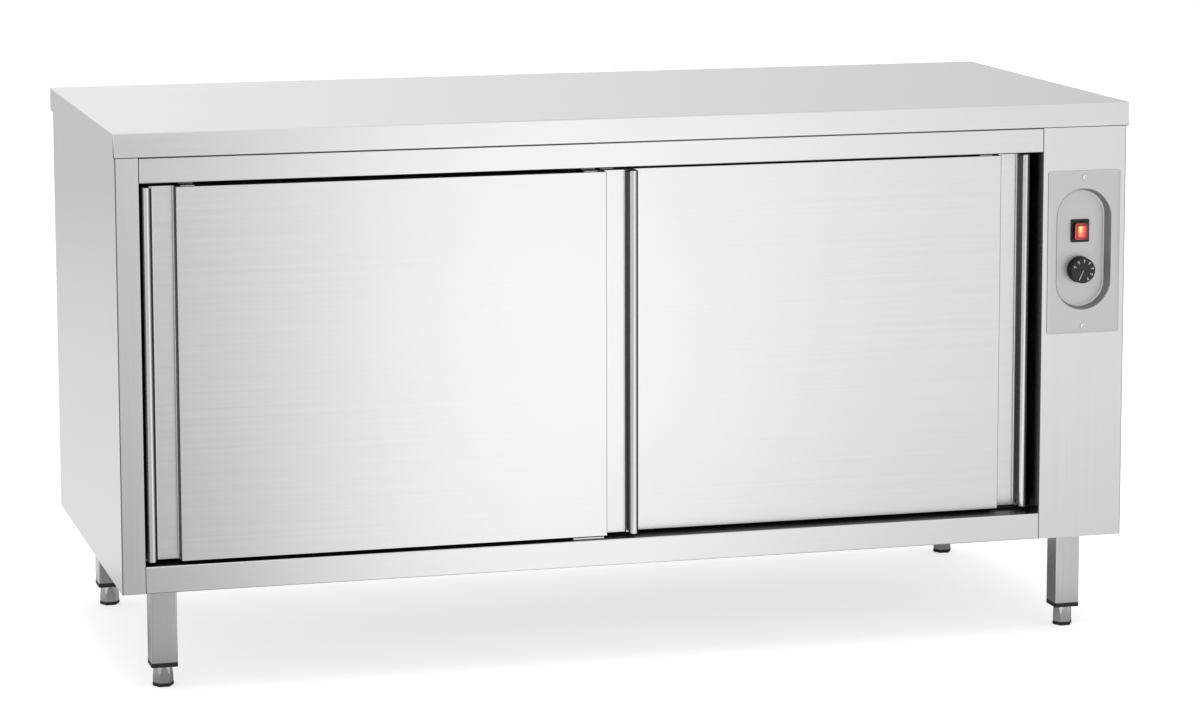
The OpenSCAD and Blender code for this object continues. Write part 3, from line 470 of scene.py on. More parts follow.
# the switch's rocker: a black block with a red lens let into its face
rocker = {
    "pivot": (0.72775, -0.3371, 0.6460),
    "restTurn": 5,            # degrees, the lower half pressed in
    "faceHeight": 0.0042,     # over the pivot
    "width": 0.0225,
    "height": 0.0270,
    "lensWidth": 0.0222,
    "lensHeight": 0.0256,
    "lensThick": 0.0018,
    "lensCorner": 0.0026,
    "windowInset": 0.0030,    # from the lens's edge to the raised window
    "windowRise": 0.0003,
    "endRadius": 0.01414,
    "low": 0.011,             # how far it reaches below the pivot
}
materials = {name: makeSheetSteel(name) for name in sheetFinish}
materials.update({name: makePlastic(name) for name in plasticFinish})
materials.update({name: makeMottled(name) for name in mottledFinish})
materials["galvanisedSheet"] = makeGalvanised()
materials["litRed"] = makeLitRed(Vector(rocker["pivot"]))
print("materials made:", len(materials))


def newObject(name, mesh):
    made = bpy.data.objects.new(name, mesh)
    scene.collection.objects.link(made)
    return made


def fromBmesh(name, bm):
    mesh = bpy.data.meshes.new(name)
    bm.to_mesh(mesh)
    bm.free()
    return newObject(name, mesh)


# for a closed shape, whose faces then all point outwards
def closed(name, bm):
    bmesh.ops.recalc_face_normals(bm, faces=bm.faces)
    return fromBmesh(name, bm)


# the modifiers become plain mesh
def settle(piece):
    graph = bpy.context.evaluated_depsgraph_get()
    graph.update()
    mesh = bpy.data.meshes.new_from_object(piece.evaluated_get(graph))
    old = piece.data
    piece.modifiers.clear()
    piece.data = mesh
    bpy.data.meshes.remove(old)


# rounds the sharp edges and keeps the flats flat in the shading
def softenEdges(piece, width, segments=2, limit=35):
    piece.data.shade_smooth()
    if width > 0:
        bevel = piece.modifiers.new("edges", "BEVEL")
        bevel.width = width
        bevel.segments = segments
        bevel.limit_method = "ANGLE"
        bevel.angle_limit = radians(limit)
        settle(piece)
    piece.data.shade_smooth()
    piece.data.set_sharp_from_angle(angle=radians(50))
    weighted = piece.modifiers.new("flats", "WEIGHTED_NORMAL")
    weighted.keep_sharp = True
    settle(piece)


# a map in metres: U runs along the brushing, V across it and round the folds
def mapGrain(piece, along):
    mesh = piece.data
    first = "XYZ".index(along)
    second, third = (first + 1) % 3, (first + 2) % 3
    layer = mesh.uv_layers.get("grain") or mesh.uv_layers.new(name="grain")
    mesh.uv_layers.active = layer
    points = mesh.vertices
    for face in mesh.polygons:
        facingEnd = abs(face.normal[first]) > 0.8
        for corner in face.loop_indices:
            at = points[mesh.loops[corner].vertex_index].co
            across = at[second] + at[third]
            layer.data[corner].uv = (at[second], at[third]) if facingEnd else (at[first], across)


def dress(piece, material, along="X"):
    piece.data.materials.clear()
    piece.data.materials.append(materials[material])
    mapGrain(piece, along)


# the piece stands for those nodes and moves with their body
def seat(piece, *nodes):
    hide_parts(*nodes)
    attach(piece, bodyOf[nodes[0]])


def mergedMesh(node):
    bm = bmesh.new()
    bm.from_mesh(frame["nodes"][node].data)
    bmesh.ops.remove_doubles(bm, verts=bm.verts, dist=2e-6)
    bmesh.ops.dissolve_limit(bm, angle_limit=radians(0.4), verts=bm.verts, edges=bm.edges)
    for layer in list(bm.loops.layers.uv):
        bm.loops.layers.uv.remove(layer)
    return bm


def camelCase(node):
    first, *rest = node.split("_")
    return first + "".join(word.capitalize() for word in rest)


# longer or shorter along each axis by so much at both ends
def resize(bm, node, growth):
    low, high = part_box(node)
    centre, size = (low + high) / 2, high - low
    factors = Vector([1 + 2 * more / full for more, full in zip(growth, size)])
    for v in bm.verts:
        v.co = centre + (v.co - centre) * factors


# the node's own shape with its edges eased, as a worked sheet or a moulding has them
def dressedNode(node, material, along="X", edge=0.0003, segments=2, growth=None):
    bm = mergedMesh(node)
    if growth:
        resize(bm, node, growth)
    piece = fromBmesh(camelCase(node), bm)
    softenEdges(piece, edge, segments)
    dress(piece, material, along)
    seat(piece, node)
    return piece


def arc(centre, radius, start, end, steps):
    turns = [radians(start + (end - start) * i / steps) for i in range(steps + 1)]
    return [(centre[0] + radius * cos(a), centre[1] + radius * sin(a)) for a in turns]


# an outline whose corners, given as x, y and radius, are rounded
def rounded(corners, steps=6):
    points = []
    for i, (x, y, radius) in enumerate(corners):
        here = Vector((x, y))
        if radius == 0:
            points.append((x, y))
            continue
        back = (Vector(corners[i - 1][:2]) - here).normalized()
        ahead = (Vector(corners[(i + 1) % len(corners)][:2]) - here).normalized()
        half = back.angle(ahead) / 2
        centre = here + (back + ahead).normalized() * radius / sin(half)
        start = here + back * radius / tan(half) - centre
        end = here + ahead * radius / tan(half) - centre
        first = atan2(start.y, start.x)
        sweep = (atan2(end.y, end.x) - first + pi) % tau - pi
        for k in range(steps + 1):
            turn = first + sweep * k / steps
            points.append((centre.x + radius * cos(turn), centre.y + radius * sin(turn)))
    return points


def ring(bm, loop, height):
    return [bm.verts.new((x, y, height)) for x, y in loop]


def joinRings(bm, *rings):
    for first, second in zip(rings, rings[1:]):
        for i in range(len(first)):
            j = (i + 1) % len(first)
            bm.faces.new((first[i], first[j], second[j], second[i]))


def slab(bm, outline, height):
    low, high = ring(bm, outline, 0), ring(bm, outline, height)
    bm.faces.new(list(reversed(low)))
    bm.faces.new(high)
    joinRings(bm, low, high)


# a closed block from an outline in X and Y
def extruded(name, outline, height):
    bm = bmesh.new()
    slab(bm, outline, height)
    return closed(name, bm)


def cutAway(piece, cutter):
    cut = piece.modifiers.new("cut", "BOOLEAN")
    cut.object = cutter
    cut.operation = "DIFFERENCE"
    cut.solver = "EXACT"
    settle(piece)
    bpy.data.objects.remove(cutter)


# a closed solid of revolution about Z, from radii and heights that start and end on the axis
def turned(name, profile, steps):
    bm = bmesh.new()
    rings = []
    for radius, height in profile:
        if radius < 1e-7:
            rings.append([bm.verts.new((0, 0, height))])
        else:
            rings.append(ring(bm, arc((0, 0), radius, 0, 360, steps)[:-1], height))
    for lower, upper in zip(rings, rings[1:]):
        for i in range(steps):
            j = (i + 1) % steps
            corners = [lower[k % len(lower)] for k in (i, j)] + [upper[k % len(upper)] for k in (j, i)]
            bm.faces.new(list(dict.fromkeys(corners)))
    return closed(name, bm)


def place(piece, matrix):
    piece.data.transform(matrix)
    piece.data.update()


rails = {
    "seam": 0.0003,           # closed at each end, with only a hairline left to the stile
    "edge": 0.0001,           # radius of the edges
}
door = {
    "lip": 0.015,             # width of the rolled lip at each end
    "channel": 0.036,         # width of the finger channel beside it
    "depth": 0.020,           # depth of the channel
    "lean": 0.002,            # how far the lip's wall leans into the channel
    "footBend": 0.0022,       # radius of the bends at the channel's floor
    "edgeBend": 0.0014,       # radius of the bend from the panel into the channel
    "lipCorner": 0.004,       # radius at the lip's top and foot
    "rim": 0.0011,            # radius round the door's top and foot
    "grooveFrom": 0.0095,     # from the door's face to the groove under it
    "grooveWidth": 0.0060,
    "grooveHeight": 0.0120,
    "coreGrowth": (0.0, -0.0003, -0.0035),  # so that it stays under the lips' rounded corners
}


# the door's section seen from above, its front edge on the X axis
def doorOutline(width, thick):
    lip, channel, depth = door["lip"], door["channel"], door["depth"]
    half = [(0.0, thick)] + arc((lip / 2, lip / 2), lip / 2, 180, 360, 24)
    corners = [
        (lip, lip / 2, 0.0),
        (lip + door["lean"], depth, door["footBend"]),
        (lip + channel, depth, door["footBend"]),
        (lip + channel, 0.0, door["edgeBend"]),
        (width / 2, 0.0, 0.0),
    ]
    half += rounded(corners, 8)[1:-1]
    return half + [(width - x, y) for x, y in reversed(half)]


# what rounds the channel side of both lips at the top and the foot
def lipCutter(width, height):
    lip, radius = door["lip"], door["lipCorner"]
    beyond = lip + door["lean"] + 0.002
    corner = [(beyond, -0.003), (beyond, radius), (lip, radius)]
    corner += arc((lip - radius, radius), radius, 0, -90, 8)[1:]
    corner += [(lip - radius, -0.003)]
    bm = bmesh.new()
    for mirrorX in (0, 1):
        for mirrorZ in (0, 1):
            rows = []
            for y in (-0.003, door["depth"] - 0.0030):
                flat = [(width - x if mirrorX else x, height - z if mirrorZ else z) for x, z in corner]
                rows.append([bm.verts.new((x, y, z)) for x, z in flat])
            bm.faces.new(rows[0])
            bm.faces.new(reversed(rows[1]))
            joinRings(bm, rows[1], rows[0])
    return closed("lipCutter", bm)


# the groove under the door, which rides over the guide
def grooveCutter(width):
    over, near = 0.001, door["grooveFrom"]
    far = near + door["grooveWidth"]
    outline = [(-over, near), (width + over, near), (width + over, far), (-over, far)]
    cutter = extruded("grooveCutter", outline, door["grooveHeight"] + over)
    place(cutter, Matrix.Translation((0, 0, -over)))
    return cutter


def makeDoor(side):
    node = side + "_door_front"
    low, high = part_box(node)
    width, thick, height = high - low
    skin = extruded(side + "DoorSkin", doorOutline(width, thick), height)
    cutAway(skin, lipCutter(width, height))
    softenEdges(skin, door["rim"], 3, 40)
    cutAway(skin, grooveCutter(width))
    softenEdges(skin, 0.0)
    place(skin, Matrix.Translation(low))
    dress(skin, "doorSteel", "X")
    seat(skin, node)
    dressedNode(side + "_door_core", "mineralWool", "X", 0.0, 2, door["coreGrowth"])
    dressedNode(side + "_door_back", "liningSteel", "X", 0.0004)
    dressedNode(side + "_door_hangers", "hangerSteelPaintedShade", "Z", 0.0003)
    dressedNode(side + "_door_pins", "brightSteel", "Y", 0.0002)
    for end in ("left", "right"):
        dressedNode(f"{side}_door_roller_{end}", "rollerNylon", "Y", 0.0003)


plate = {
    "corner": 0.004,
    "edge": 0.0012,           # height of its upright edge
    "bevel": 0.0055,          # width of the sloping border
    "screwInset": 0.011,      # from the plate's end to its screw
    "dishWidth": 0.0900,
    "dishHeight": 0.1915,
    "dishUp": 0.0040,         # of the dish's middle over the plate's
    "dishDepth": 0.018,
    "rimRadius": 0.0030,
    "floorRadius": 0.0030,
    "draft": 0.0030,
    "sheet": 0.0012,
}
plateLow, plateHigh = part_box("control_plate")
plateCentre = (plateLow + plateHigh) / 2
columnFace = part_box("right_side_panel")[0].y
plateRise = columnFace - plateLow.y


# local x to the right, y up and z towards the user
def facing(x, y, z):
    return Matrix.Translation((x, y, z)) @ Matrix.Rotation(pi / 2, 4, "X")


def roundedLoop(width, height, radius):
    x, y = width / 2, height / 2
    return rounded([(x, -y, radius), (x, y, radius), (-x, y, radius), (-x, -y, radius)])


def stadiumLoop(radius, straight):
    upper = arc((0, plate["dishUp"] + straight / 2), radius, 0, 180, 48)
    return upper + arc((0, plate["dishUp"] - straight / 2), radius, 180, 360, 48)


# the dish's wall from the face down to the floor, as distances from its middle and heights
def dishSection():
    half, rim, foot = plate["dishWidth"] / 2, plate["rimRadius"], plate["floorRadius"]
    low = plateRise - plate["dishDepth"]
    corners = [
        (half + 3 * rim, plateRise, 0.0),
        (half, plateRise, rim),
        (half - plate["draft"], low, foot),
        (half - 0.015, low, 0.0),
    ]
    return rounded(corners, 8)[1:-1]


def makeControlPlate():
    width, height = plateHigh.x - plateLow.x, plateHigh.z - plateLow.z
    straight = plate["dishHeight"] - plate["dishWidth"]
    rise, bevel = plateRise, plate["bevel"]
    steps = [(0.0, 0.0), (0.0, plate["edge"] - 0.0004), (0.0005, plate["edge"] + 0.0001)]
    steps += [(bevel - 0.0009, rise - 0.00009), (bevel, rise - 0.00002), (bevel + 0.0009, rise)]
    bm = bmesh.new()
    outer = []
    for inset, up in steps:
        loop = roundedLoop(width - 2 * inset, height - 2 * inset, plate["corner"] - inset * 0.2)
        outer.append(ring(bm, loop, up))
    joinRings(bm, *outer)
    dish = [ring(bm, stadiumLoop(x, straight), y) for x, y in dishSection()]
    joinRings(bm, *dish)
    bm.faces.new(dish[-1])
    flat = outer[-1] + dish[0]
    for corners in tessellate_polygon([[v.co for v in outer[-1]], [v.co for v in dish[0]]]):
        bm.faces.new([flat[i] for i in corners])
    bmesh.ops.remove_doubles(bm, verts=bm.verts, dist=1e-6)
    bmesh.ops.recalc_face_normals(bm, faces=bm.faces)
    if max(bm.faces, key=lambda face: face.calc_area()).normal.z < 0:
        bmesh.ops.reverse_faces(bm, faces=bm.faces)
    pressed = fromBmesh("controlPlate", bm)
    wall = pressed.modifiers.new("sheet", "SOLIDIFY")
    wall.thickness = plate["sheet"]
    wall.offset = -1
    settle(pressed)
    softenEdges(pressed, 0.0)
    place(pressed, facing(plateCentre.x, columnFace, plateCentre.z))
    dress(pressed, "plateSteel", "Z")
    seat(pressed, "control_plate")


def makeSwitch():
    dressedNode("switch_housing", "controlPlastic", "X", 0.0006, 3)
    pivot = Vector(rocker["pivot"])
    turn = facing(*pivot) @ Matrix.Rotation(radians(rocker["restTurn"]), 4, "X")
    face = rocker["faceHeight"]
    under = face - rocker["lensThick"]
    reach = rocker["endRadius"] - 0.0001
    outline = arc((0, 0), reach, degrees(asin(under / reach)), -degrees(asin(rocker["low"] / reach)), 10)
    outline += [(-x, y) for x, y in reversed(outline)]
    body = extruded("rockerBlock", outline, rocker["width"] - 0.0002)
    along = Matrix(((0, 0, 1, 0), (1, 0, 0, 0), (0, 1, 0, 0), (0, 0, 0, 1)))
    place(body, turn @ Matrix.Translation((-rocker["width"] / 2 + 0.0001, 0, 0)) @ along)
    softenEdges(body, 0.0008, 3)
    dress(body, "controlPlastic", "X")
    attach(body, bodyOf["rocker"])
    # the lens: a slab with rounded corners, a softened edge and a window raised over its face
    bm = bmesh.new()
    inset, rise = rocker["windowInset"], rocker["windowRise"]
    profile = [(0.0, under), (0.0, face - 0.0009), (0.0003, face - 0.0003), (0.0009, face - 0.0001)]
    profile += [(inset - 0.0004, face - rise), (inset, face - rise / 2), (inset + 0.0005, face)]
    rings = []
    for x, y in profile:
        corner = max(rocker["lensCorner"] - x * 0.6, 0.0008)
        loop = roundedLoop(rocker["lensWidth"] - 2 * x, rocker["lensHeight"] - 2 * x, corner)
        rings.append(ring(bm, loop, y))
    joinRings(bm, *rings)
    bm.faces.new(rings[-1])
    bm.faces.new(list(reversed(rings[0])))
    lens = closed("rockerLens", bm)
    softenEdges(lens, 0.0)
    place(lens, turn)
    dress(lens, "litRed", "X")
    seat(lens, "rocker")


knob = {
    "edge": 0.0012,           # radius round the face
    "taper": 0.0009,
    "numbers": "1234567",
    "firstTurn": 157,         # degrees, where 90 is straight up
    "turnStep": -36.2,
    "numberRadius": 0.0140,
    "numberHeight": 0.0026,
    "wedgeRadius": 0.0158,    # of its wide side, which faces the middle
    "wedgeLength": 0.0017,
    "wedgeWidth": 0.0042,
    "pointerTurn": 245,
    "pointerFrom": 0.0003,
    "pointerTo": 0.0165,
    "pointerWidth": 0.0014,
    "ink": 0.00022,           # height of the print over the face
}
knobLow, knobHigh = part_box("knob")
knobCentre = (knobLow + knobHigh) / 2


def onKnobFace():
    return facing(knobCentre.x, knobLow.y + knob["ink"], knobCentre.z)


def makeKnob():
    radius = (knobHigh.x - knobLow.x) / 2
    deep = knobHigh.y - knobLow.y - knob["ink"]
    edge = knob["edge"]
    face = radius - knob["taper"]
    profile = [(0.0, -deep), (radius - 0.0010, -deep)]
    profile += [(radius - 0.0003, -deep + 0.0003), (radius, -deep + 0.0010), (radius, -deep + 0.0022)]
    profile += [(radius - 0.0004, -deep + 0.0027)]
    profile += arc((face - edge, -edge), edge, 0, 90, 8)
    profile += [(face - edge - 0.0012, 0.0), (0.0, 0.0)]
    turnedKnob = turned("thermostatKnob", profile, 96)
    softenEdges(turnedKnob, 0.0)
    place(turnedKnob, onKnobFace())
    dress(turnedKnob, "controlPlastic", "Y")
    seat(turnedKnob, "knob")


def makeNumbers():
    bm = bmesh.new()
    for i, number in enumerate(knob["numbers"]):
        words = bpy.data.curves.new("dialNumber", "FONT")
        words.body = number
        words.size = knob["numberHeight"] / 0.7
        words.align_x = "CENTER"
        words.align_y = "CENTER"
        words.extrude = knob["ink"] / 2
        words.offset = 0.00022
        words.resolution_u = 4
        holder = newObject("dialNumber", words)
        graph = bpy.context.evaluated_depsgraph_get()
        printed = bpy.data.meshes.new_from_object(holder.evaluated_get(graph))
        bpy.data.objects.remove(holder)
        turn = radians(knob["firstTurn"] + i * knob["turnStep"])
        radius = knob["numberRadius"]
        shift = Matrix.Translation((radius * cos(turn), radius * sin(turn), knob["ink"] / 2))
        printed.transform(shift @ Matrix.Rotation(turn - pi / 2, 4, "Z"))
        bm.from_mesh(printed)
        bpy.data.meshes.remove(printed)
    turn = radians(knob["pointerTurn"])
    half = knob["pointerWidth"] / 2
    near, far = knob["pointerFrom"], knob["pointerTo"]
    corners = [(near, -half * 0.7), (far, -half), (far, half), (near, half * 0.7)]
    corners = [(x * cos(turn) - y * sin(turn), x * sin(turn) + y * cos(turn)) for x, y in corners]
    slab(bm, corners, knob["ink"])
    marks = fromBmesh("dialNumbers", bm)
    marks.data.shade_flat()
    place(marks, onKnobFace())
    dress(marks, "whiteInk", "X")
    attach(marks, bodyOf["knob"])


def newTree(name, inputs):
    tree = bpy.data.node_groups.new(name, "GeometryNodeTree")
    tree.interface.new_socket("Geometry", in_out="OUTPUT", socket_type="NodeSocketGeometry")
    tree.interface.new_socket("Geometry", in_out="INPUT", socket_type="NodeSocketGeometry")
    keys = {}
    for label, kind, start in inputs:
        made = tree.interface.new_socket(label, in_out="INPUT", socket_type="NodeSocket" + kind)
        if start is not None:
            made.default_value = start
        keys[label] = made.identifier
    return tree, keys, addNode(tree, "NodeGroupInput").outputs, addNode(tree, "NodeGroupOutput").inputs


# ends the tree with plain mesh in its finish
def endTree(tree, geometry, finish, out):
    real = addNode(tree, "GeometryNodeRealizeInstances", {0: geometry}).outputs[0]
    coated = addNode(tree, "GeometryNodeSetMaterial", {"Geometry": real, "Material": finish})
    tree.links.new(coated.outputs[0], out["Geometry"])


# gives the object the tree with these values, and turns what it makes into plain mesh
def grow(piece, tree, keys, **values):
    modifier = piece.modifiers.new("grown", "NODES")
    modifier.node_group = tree
    for label, value in values.items():
        modifier[keys[label]] = value
    piece.update_tag()
    settle(piece)


# the wedges outside the dial's numbers, copied round the knob's axis
def makeWedges():
    tree, keys, given, out = newTree(
        "dialWedges",
        [
            ("Wedge", "Object", None), ("Count", "Int", 7), ("First", "Float", 0.0),
            ("Step", "Float", 0.5), ("Finish", "Material", None),
        ],
    )
    line = addNode(tree, "GeometryNodeMeshLine", {"Count": given["Count"]})
    line.inputs["Offset"].default_value = (0.0, 0.0, 0.0)
    index = addNode(tree, "GeometryNodeInputIndex").outputs[0]
    turn = math(tree, "MULTIPLY_ADD", index, given["Step"], given["First"])
    aim = addNode(tree, "ShaderNodeCombineXYZ", {2: turn}).outputs[0]
    wedge = addNode(tree, "GeometryNodeObjectInfo", {"Object": given["Wedge"]}).outputs["Geometry"]
    settings = {"Points": line.outputs[0], "Instance": wedge, "Rotation": aim}
    put = addNode(tree, "GeometryNodeInstanceOnPoints", settings).outputs[0]
    endTree(tree, put, given["Finish"], out)
    near, length, half = knob["wedgeRadius"], knob["wedgeLength"], knob["wedgeWidth"] / 2
    bm = bmesh.new()
    tip = half * 0.2
    slab(bm, [(near, -half), (near + length, -tip), (near + length, tip), (near, half)], knob["ink"])
    wedge = fromBmesh("oneWedge", bm)
    wedges = newObject("dialWedges", bpy.data.meshes.new("dialWedges"))
    grow(
        wedges, tree, keys, Wedge=wedge, Count=len(knob["numbers"]), First=radians(knob["firstTurn"]),
        Step=radians(knob["turnStep"]), Finish=materials["whiteInk"],
    )
    bpy.data.objects.remove(wedge)
    place(wedges, onKnobFace())
    dress(wedges, "whiteInk", "X")
    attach(wedges, bodyOf["knob"])


screw = {
    "plateRadius": 0.0042,
    "backRadius": 0.0038,
    "headHeight": 0.0017,
    "crossWidth": 0.0009,
    "crossReach": 0.0022,
    "crossDepth": 0.0009,
    "backInset": 0.0097,      # of the back's two rows from its sides
    "endInset": 0.040,
    "rows": 4,
    "seed": 11,
}


# a pan head with a cross recess, its seat at the origin and its top along Z
def makeScrewHead(name, radius):
    height = screw["headHeight"]
    profile = [(0.0, 0.0), (radius, 0.0), (radius, height * 0.35)]
    for turn in (20, 40, 60, 78):
        profile.append((radius * cos(radians(turn)), height * (0.35 + 0.65 * sin(radians(turn)))))
    head = turned(name, profile + [(0.0, height)], 28)
    size = Matrix.Diagonal((2 * screw["crossReach"], screw["crossWidth"], 2 * screw["crossDepth"], 1.0))
    for turn in (0, 90):
        bm = bmesh.new()
        bmesh.ops.create_cube(bm, size=1.0)
        slot = fromBmesh("crossCutter", bm)
        place(slot, Matrix.Translation((0, 0, height)) @ Matrix.Rotation(radians(turn), 4, "Z") @ size)
        cutAway(head, slot)
    return head


# one head on each point, turned at random about its own axis
def makeScrewTree():
    tree, keys, given, out = newTree(
        "screwRow",
        [
            ("Head", "Object", None), ("Tilt", "Vector", (0.0, 0.0, 0.0)),
            ("Seed", "Int", 0), ("Finish", "Material", None),
        ],
    )
    head = addNode(tree, "GeometryNodeObjectInfo", {"Object": given["Head"]}).outputs["Geometry"]
    spin = addNode(tree, "FunctionNodeRandomValue", {"Seed": given["Seed"]}, data_type="FLOAT")
    spin.inputs[2].default_value = 0.0
    spin.inputs[3].default_value = tau
    about = addNode(tree, "ShaderNodeCombineXYZ", {2: spin.outputs[1]}).outputs[0]
    turned = addNode(tree, "FunctionNodeEulerToRotation", {0: about}).outputs[0]
    tilted = addNode(tree, "FunctionNodeEulerToRotation", {0: given["Tilt"]}).outputs[0]
    aim = addNode(tree, "FunctionNodeRotateRotation", {0: turned, 1: tilted}, rotation_space="GLOBAL")
    settings = {"Points": given["Geometry"], "Instance": head, "Rotation": aim.outputs[0]}
    put = addNode(tree, "GeometryNodeInstanceOnPoints", settings).outputs[0]
    endTree(tree, put, given["Finish"], out)
    return tree, keys


def placeHeads(name, points, radius, tilt, tree, keys):
    head = makeScrewHead("screwHead", radius)
    mesh = bpy.data.meshes.new(name)
    mesh.from_pydata(points, [], [])
    row = newObject(name, mesh)
    grow(
        row, tree, keys, Head=head, Tilt=(tilt, 0.0, 0.0), Seed=screw["seed"],
        Finish=materials["polishedSteel"],
    )
    bpy.data.objects.remove(head)
    softenEdges(row, 0.0)
    dress(row, "polishedSteel", "X")
    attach(row, bodyOf["panel_screws"])
    return row


def makeScrews():
    tree, keys = makeScrewTree()
    reach = (plateHigh.z - plateLow.z) / 2 - plate["screwInset"]
    points = [(plateCentre.x, plateLow.y, plateCentre.z + s * reach) for s in (-1, 1)]
    front = placeHeads("plateScrews", points, screw["plateRadius"], pi / 2, tree, keys)
    low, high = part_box("back_panel")
    side, rows, end = high.x - screw["backInset"], screw["rows"], screw["endInset"]
    heights = [low.z + end + i * (high.z - low.z - 2 * end) / (rows - 1) for i in range(rows)]
    points = [(s * side, high.y, z) for s in (-1, 1) for z in heights]
    placeHeads("backScrews", points, screw["backRadius"], -pi / 2, tree, keys)
    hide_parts("panel_screws")


corners = ("front_left", "front_right", "back_left", "back_right")
foot = {
    "stemRadius": 0.0050,
    "pitch": 0.0015,
    "ridge": 0.0006,          # radius of the thread's ridge
    "start": 0.0005,          # of the thread over the sleeve
    "stop": 0.0012,           # left between the thread and the stem's top
    "cut": 0.0001,            # the sleeve ends this far over the cap's foot
}


# a ridge that winds up a stem, and the core that it winds round
def makeThreadTree():
    tree, keys, given, out = newTree(
        "stemThread",
        [
            ("Radius", "Float", 0.005), ("Height", "Float", 0.03), ("Pitch", "Float", 0.0015),
            ("Ridge", "Float", 0.0006), ("Finish", "Material", None),
        ],
    )
    turns = math(tree, "DIVIDE", given["Height"], given["Pitch"])
    middle = minus(tree, given["Radius"], given["Ridge"])
    path = addNode(
        tree, "GeometryNodeCurveSpiral",
        {"Rotations": turns, "Start Radius": middle, "End Radius": middle, "Height": given["Height"]},
    )
    path.inputs["Resolution"].default_value = 18
    ridge = addNode(tree, "GeometryNodeCurvePrimitiveCircle", {"Radius": given["Ridge"]})
    ridge.inputs["Resolution"].default_value = 4
    curves = {"Curve": path.outputs[0], "Profile Curve": ridge.outputs[0]}
    wound = addNode(tree, "GeometryNodeCurveToMesh", curves)
    wound.inputs["Fill Caps"].default_value = True
    core = addNode(tree, "GeometryNodeMeshCylinder", {"Radius": middle, "Depth": given["Height"]})
    core.inputs["Vertices"].default_value = 28
    up = addNode(tree, "ShaderNodeCombineXYZ", {2: times(tree, given["Height"], 0.5)}).outputs[0]
    raised = addNode(tree, "GeometryNodeTransform", {"Geometry": core.outputs[0], "Translation": up})
    both = addNode(tree, "GeometryNodeJoinGeometry", {0: wound.outputs[0]})
    tree.links.new(raised.outputs[0], both.inputs[0])
    endTree(tree, both.outputs[0], given["Finish"], out)
    return tree, keys


# the sleeve keeps the node's shape up to the stem, whose thread is wound above it
def makeFeet():
    tree, keys = makeThreadTree()
    for corner in corners:
        node = "foot_" + corner
        low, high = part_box(node)
        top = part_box("leg_caps")[0].z
        bm = mergedMesh(node)
        everything = list(bm.verts) + list(bm.edges) + list(bm.faces)
        cut = bmesh.ops.bisect_plane(
            bm, geom=everything, plane_co=(0, 0, top + foot["cut"]), plane_no=(0, 0, 1), clear_outer=True
        )
        rim = [part for part in cut["geom_cut"] if isinstance(part, bmesh.types.BMEdge)]
        bmesh.ops.edgeloop_fill(bm, edges=rim)
        sleeve = fromBmesh(camelCase(node), bm)
        softenEdges(sleeve, 0.0005)
        dress(sleeve, "brightSteel", "Z")
        seat(sleeve, node)
        stem = newObject(camelCase("stem_" + corner), bpy.data.meshes.new("stem"))
        height = high.z - top - foot["stop"]
        grow(
            stem, tree, keys, Radius=foot["stemRadius"], Height=height, Pitch=foot["pitch"],
            Ridge=foot["ridge"], Finish=materials["brightSteel"],
        )
        place(stem, Matrix.Translation(((low.x + high.x) / 2, (low.y + high.y) / 2, top + foot["start"])))
        softenEdges(stem, 0.0)
        dress(stem, "brightSteel", "Z")
        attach(stem, bodyOf[node])


# node: finish, direction of the brushing, radius of its edges in millimetres
dressing = {
    "worktop": ("worktopSteel", "X", 0.0),
    "left_side_panel": ("bodySteel", "Y", 0.05),
    "right_side_panel": ("bodySteel", "Y", 0.05),
    "back_panel": ("bodySteel", "X", 0.2),
    "base_tray": ("liningSteel", "X", 0.2),
    "inner_floor": ("liningSteel", "X", 0.2),
    "left_liner": ("liningSteel", "Z", 0.2),
    "back_liner": ("liningSteel", "X", 0.2),
    "ceiling_liner": ("liningSteel", "X", 0.2),
    "partition_wall": ("liningSteel", "Z", 0.2),
    "front_track": ("brightSteel", "X", 0.25),
    "rear_track": ("brightSteel", "X", 0.25),
    "track_stops": ("stopRubber", "X", 0.5),
    "door_guide": ("brightSteel", "X", 0.5),
    "shelf": ("liningSteel", "X", 0.5),
    "shelf_rests": ("brightSteel", "Y", 0.3),
    "thermostat_bulb": ("drawnCopper", "Z", 0.2),
    "air_duct": ("galvanisedSheet", "Z", 0.2),
    "fan_rotor": ("galvanisedSheet", "X", 0.0),
    "cable_gland": ("padPlastic", "Y", 0.5),
    **{"leg_" + corner: ("brightSteel", "Z", 0.3) for corner in corners},
    "leg_caps": ("padPlastic", "Z", 0.8),
    **{"pad_" + corner: ("padPlastic", "Z", 0.8) for corner in corners},
}

# shut inside, where the solid's own shape is enough
inner = {
    "worktop_core": "rawBoard",
    "thermostat_body": "motorLacquer",
    "thermostat_shaft": "elementSteel",
    "fan_motor": "motorLacquer",
    "heating_element": "elementSteel",
    "terminal_block": "terminalCream",
}


def finishInner():
    for node, name in inner.items():
        mesh = frame["nodes"][node].data
        mesh.materials.clear()
        mesh.materials.append(materials[name])


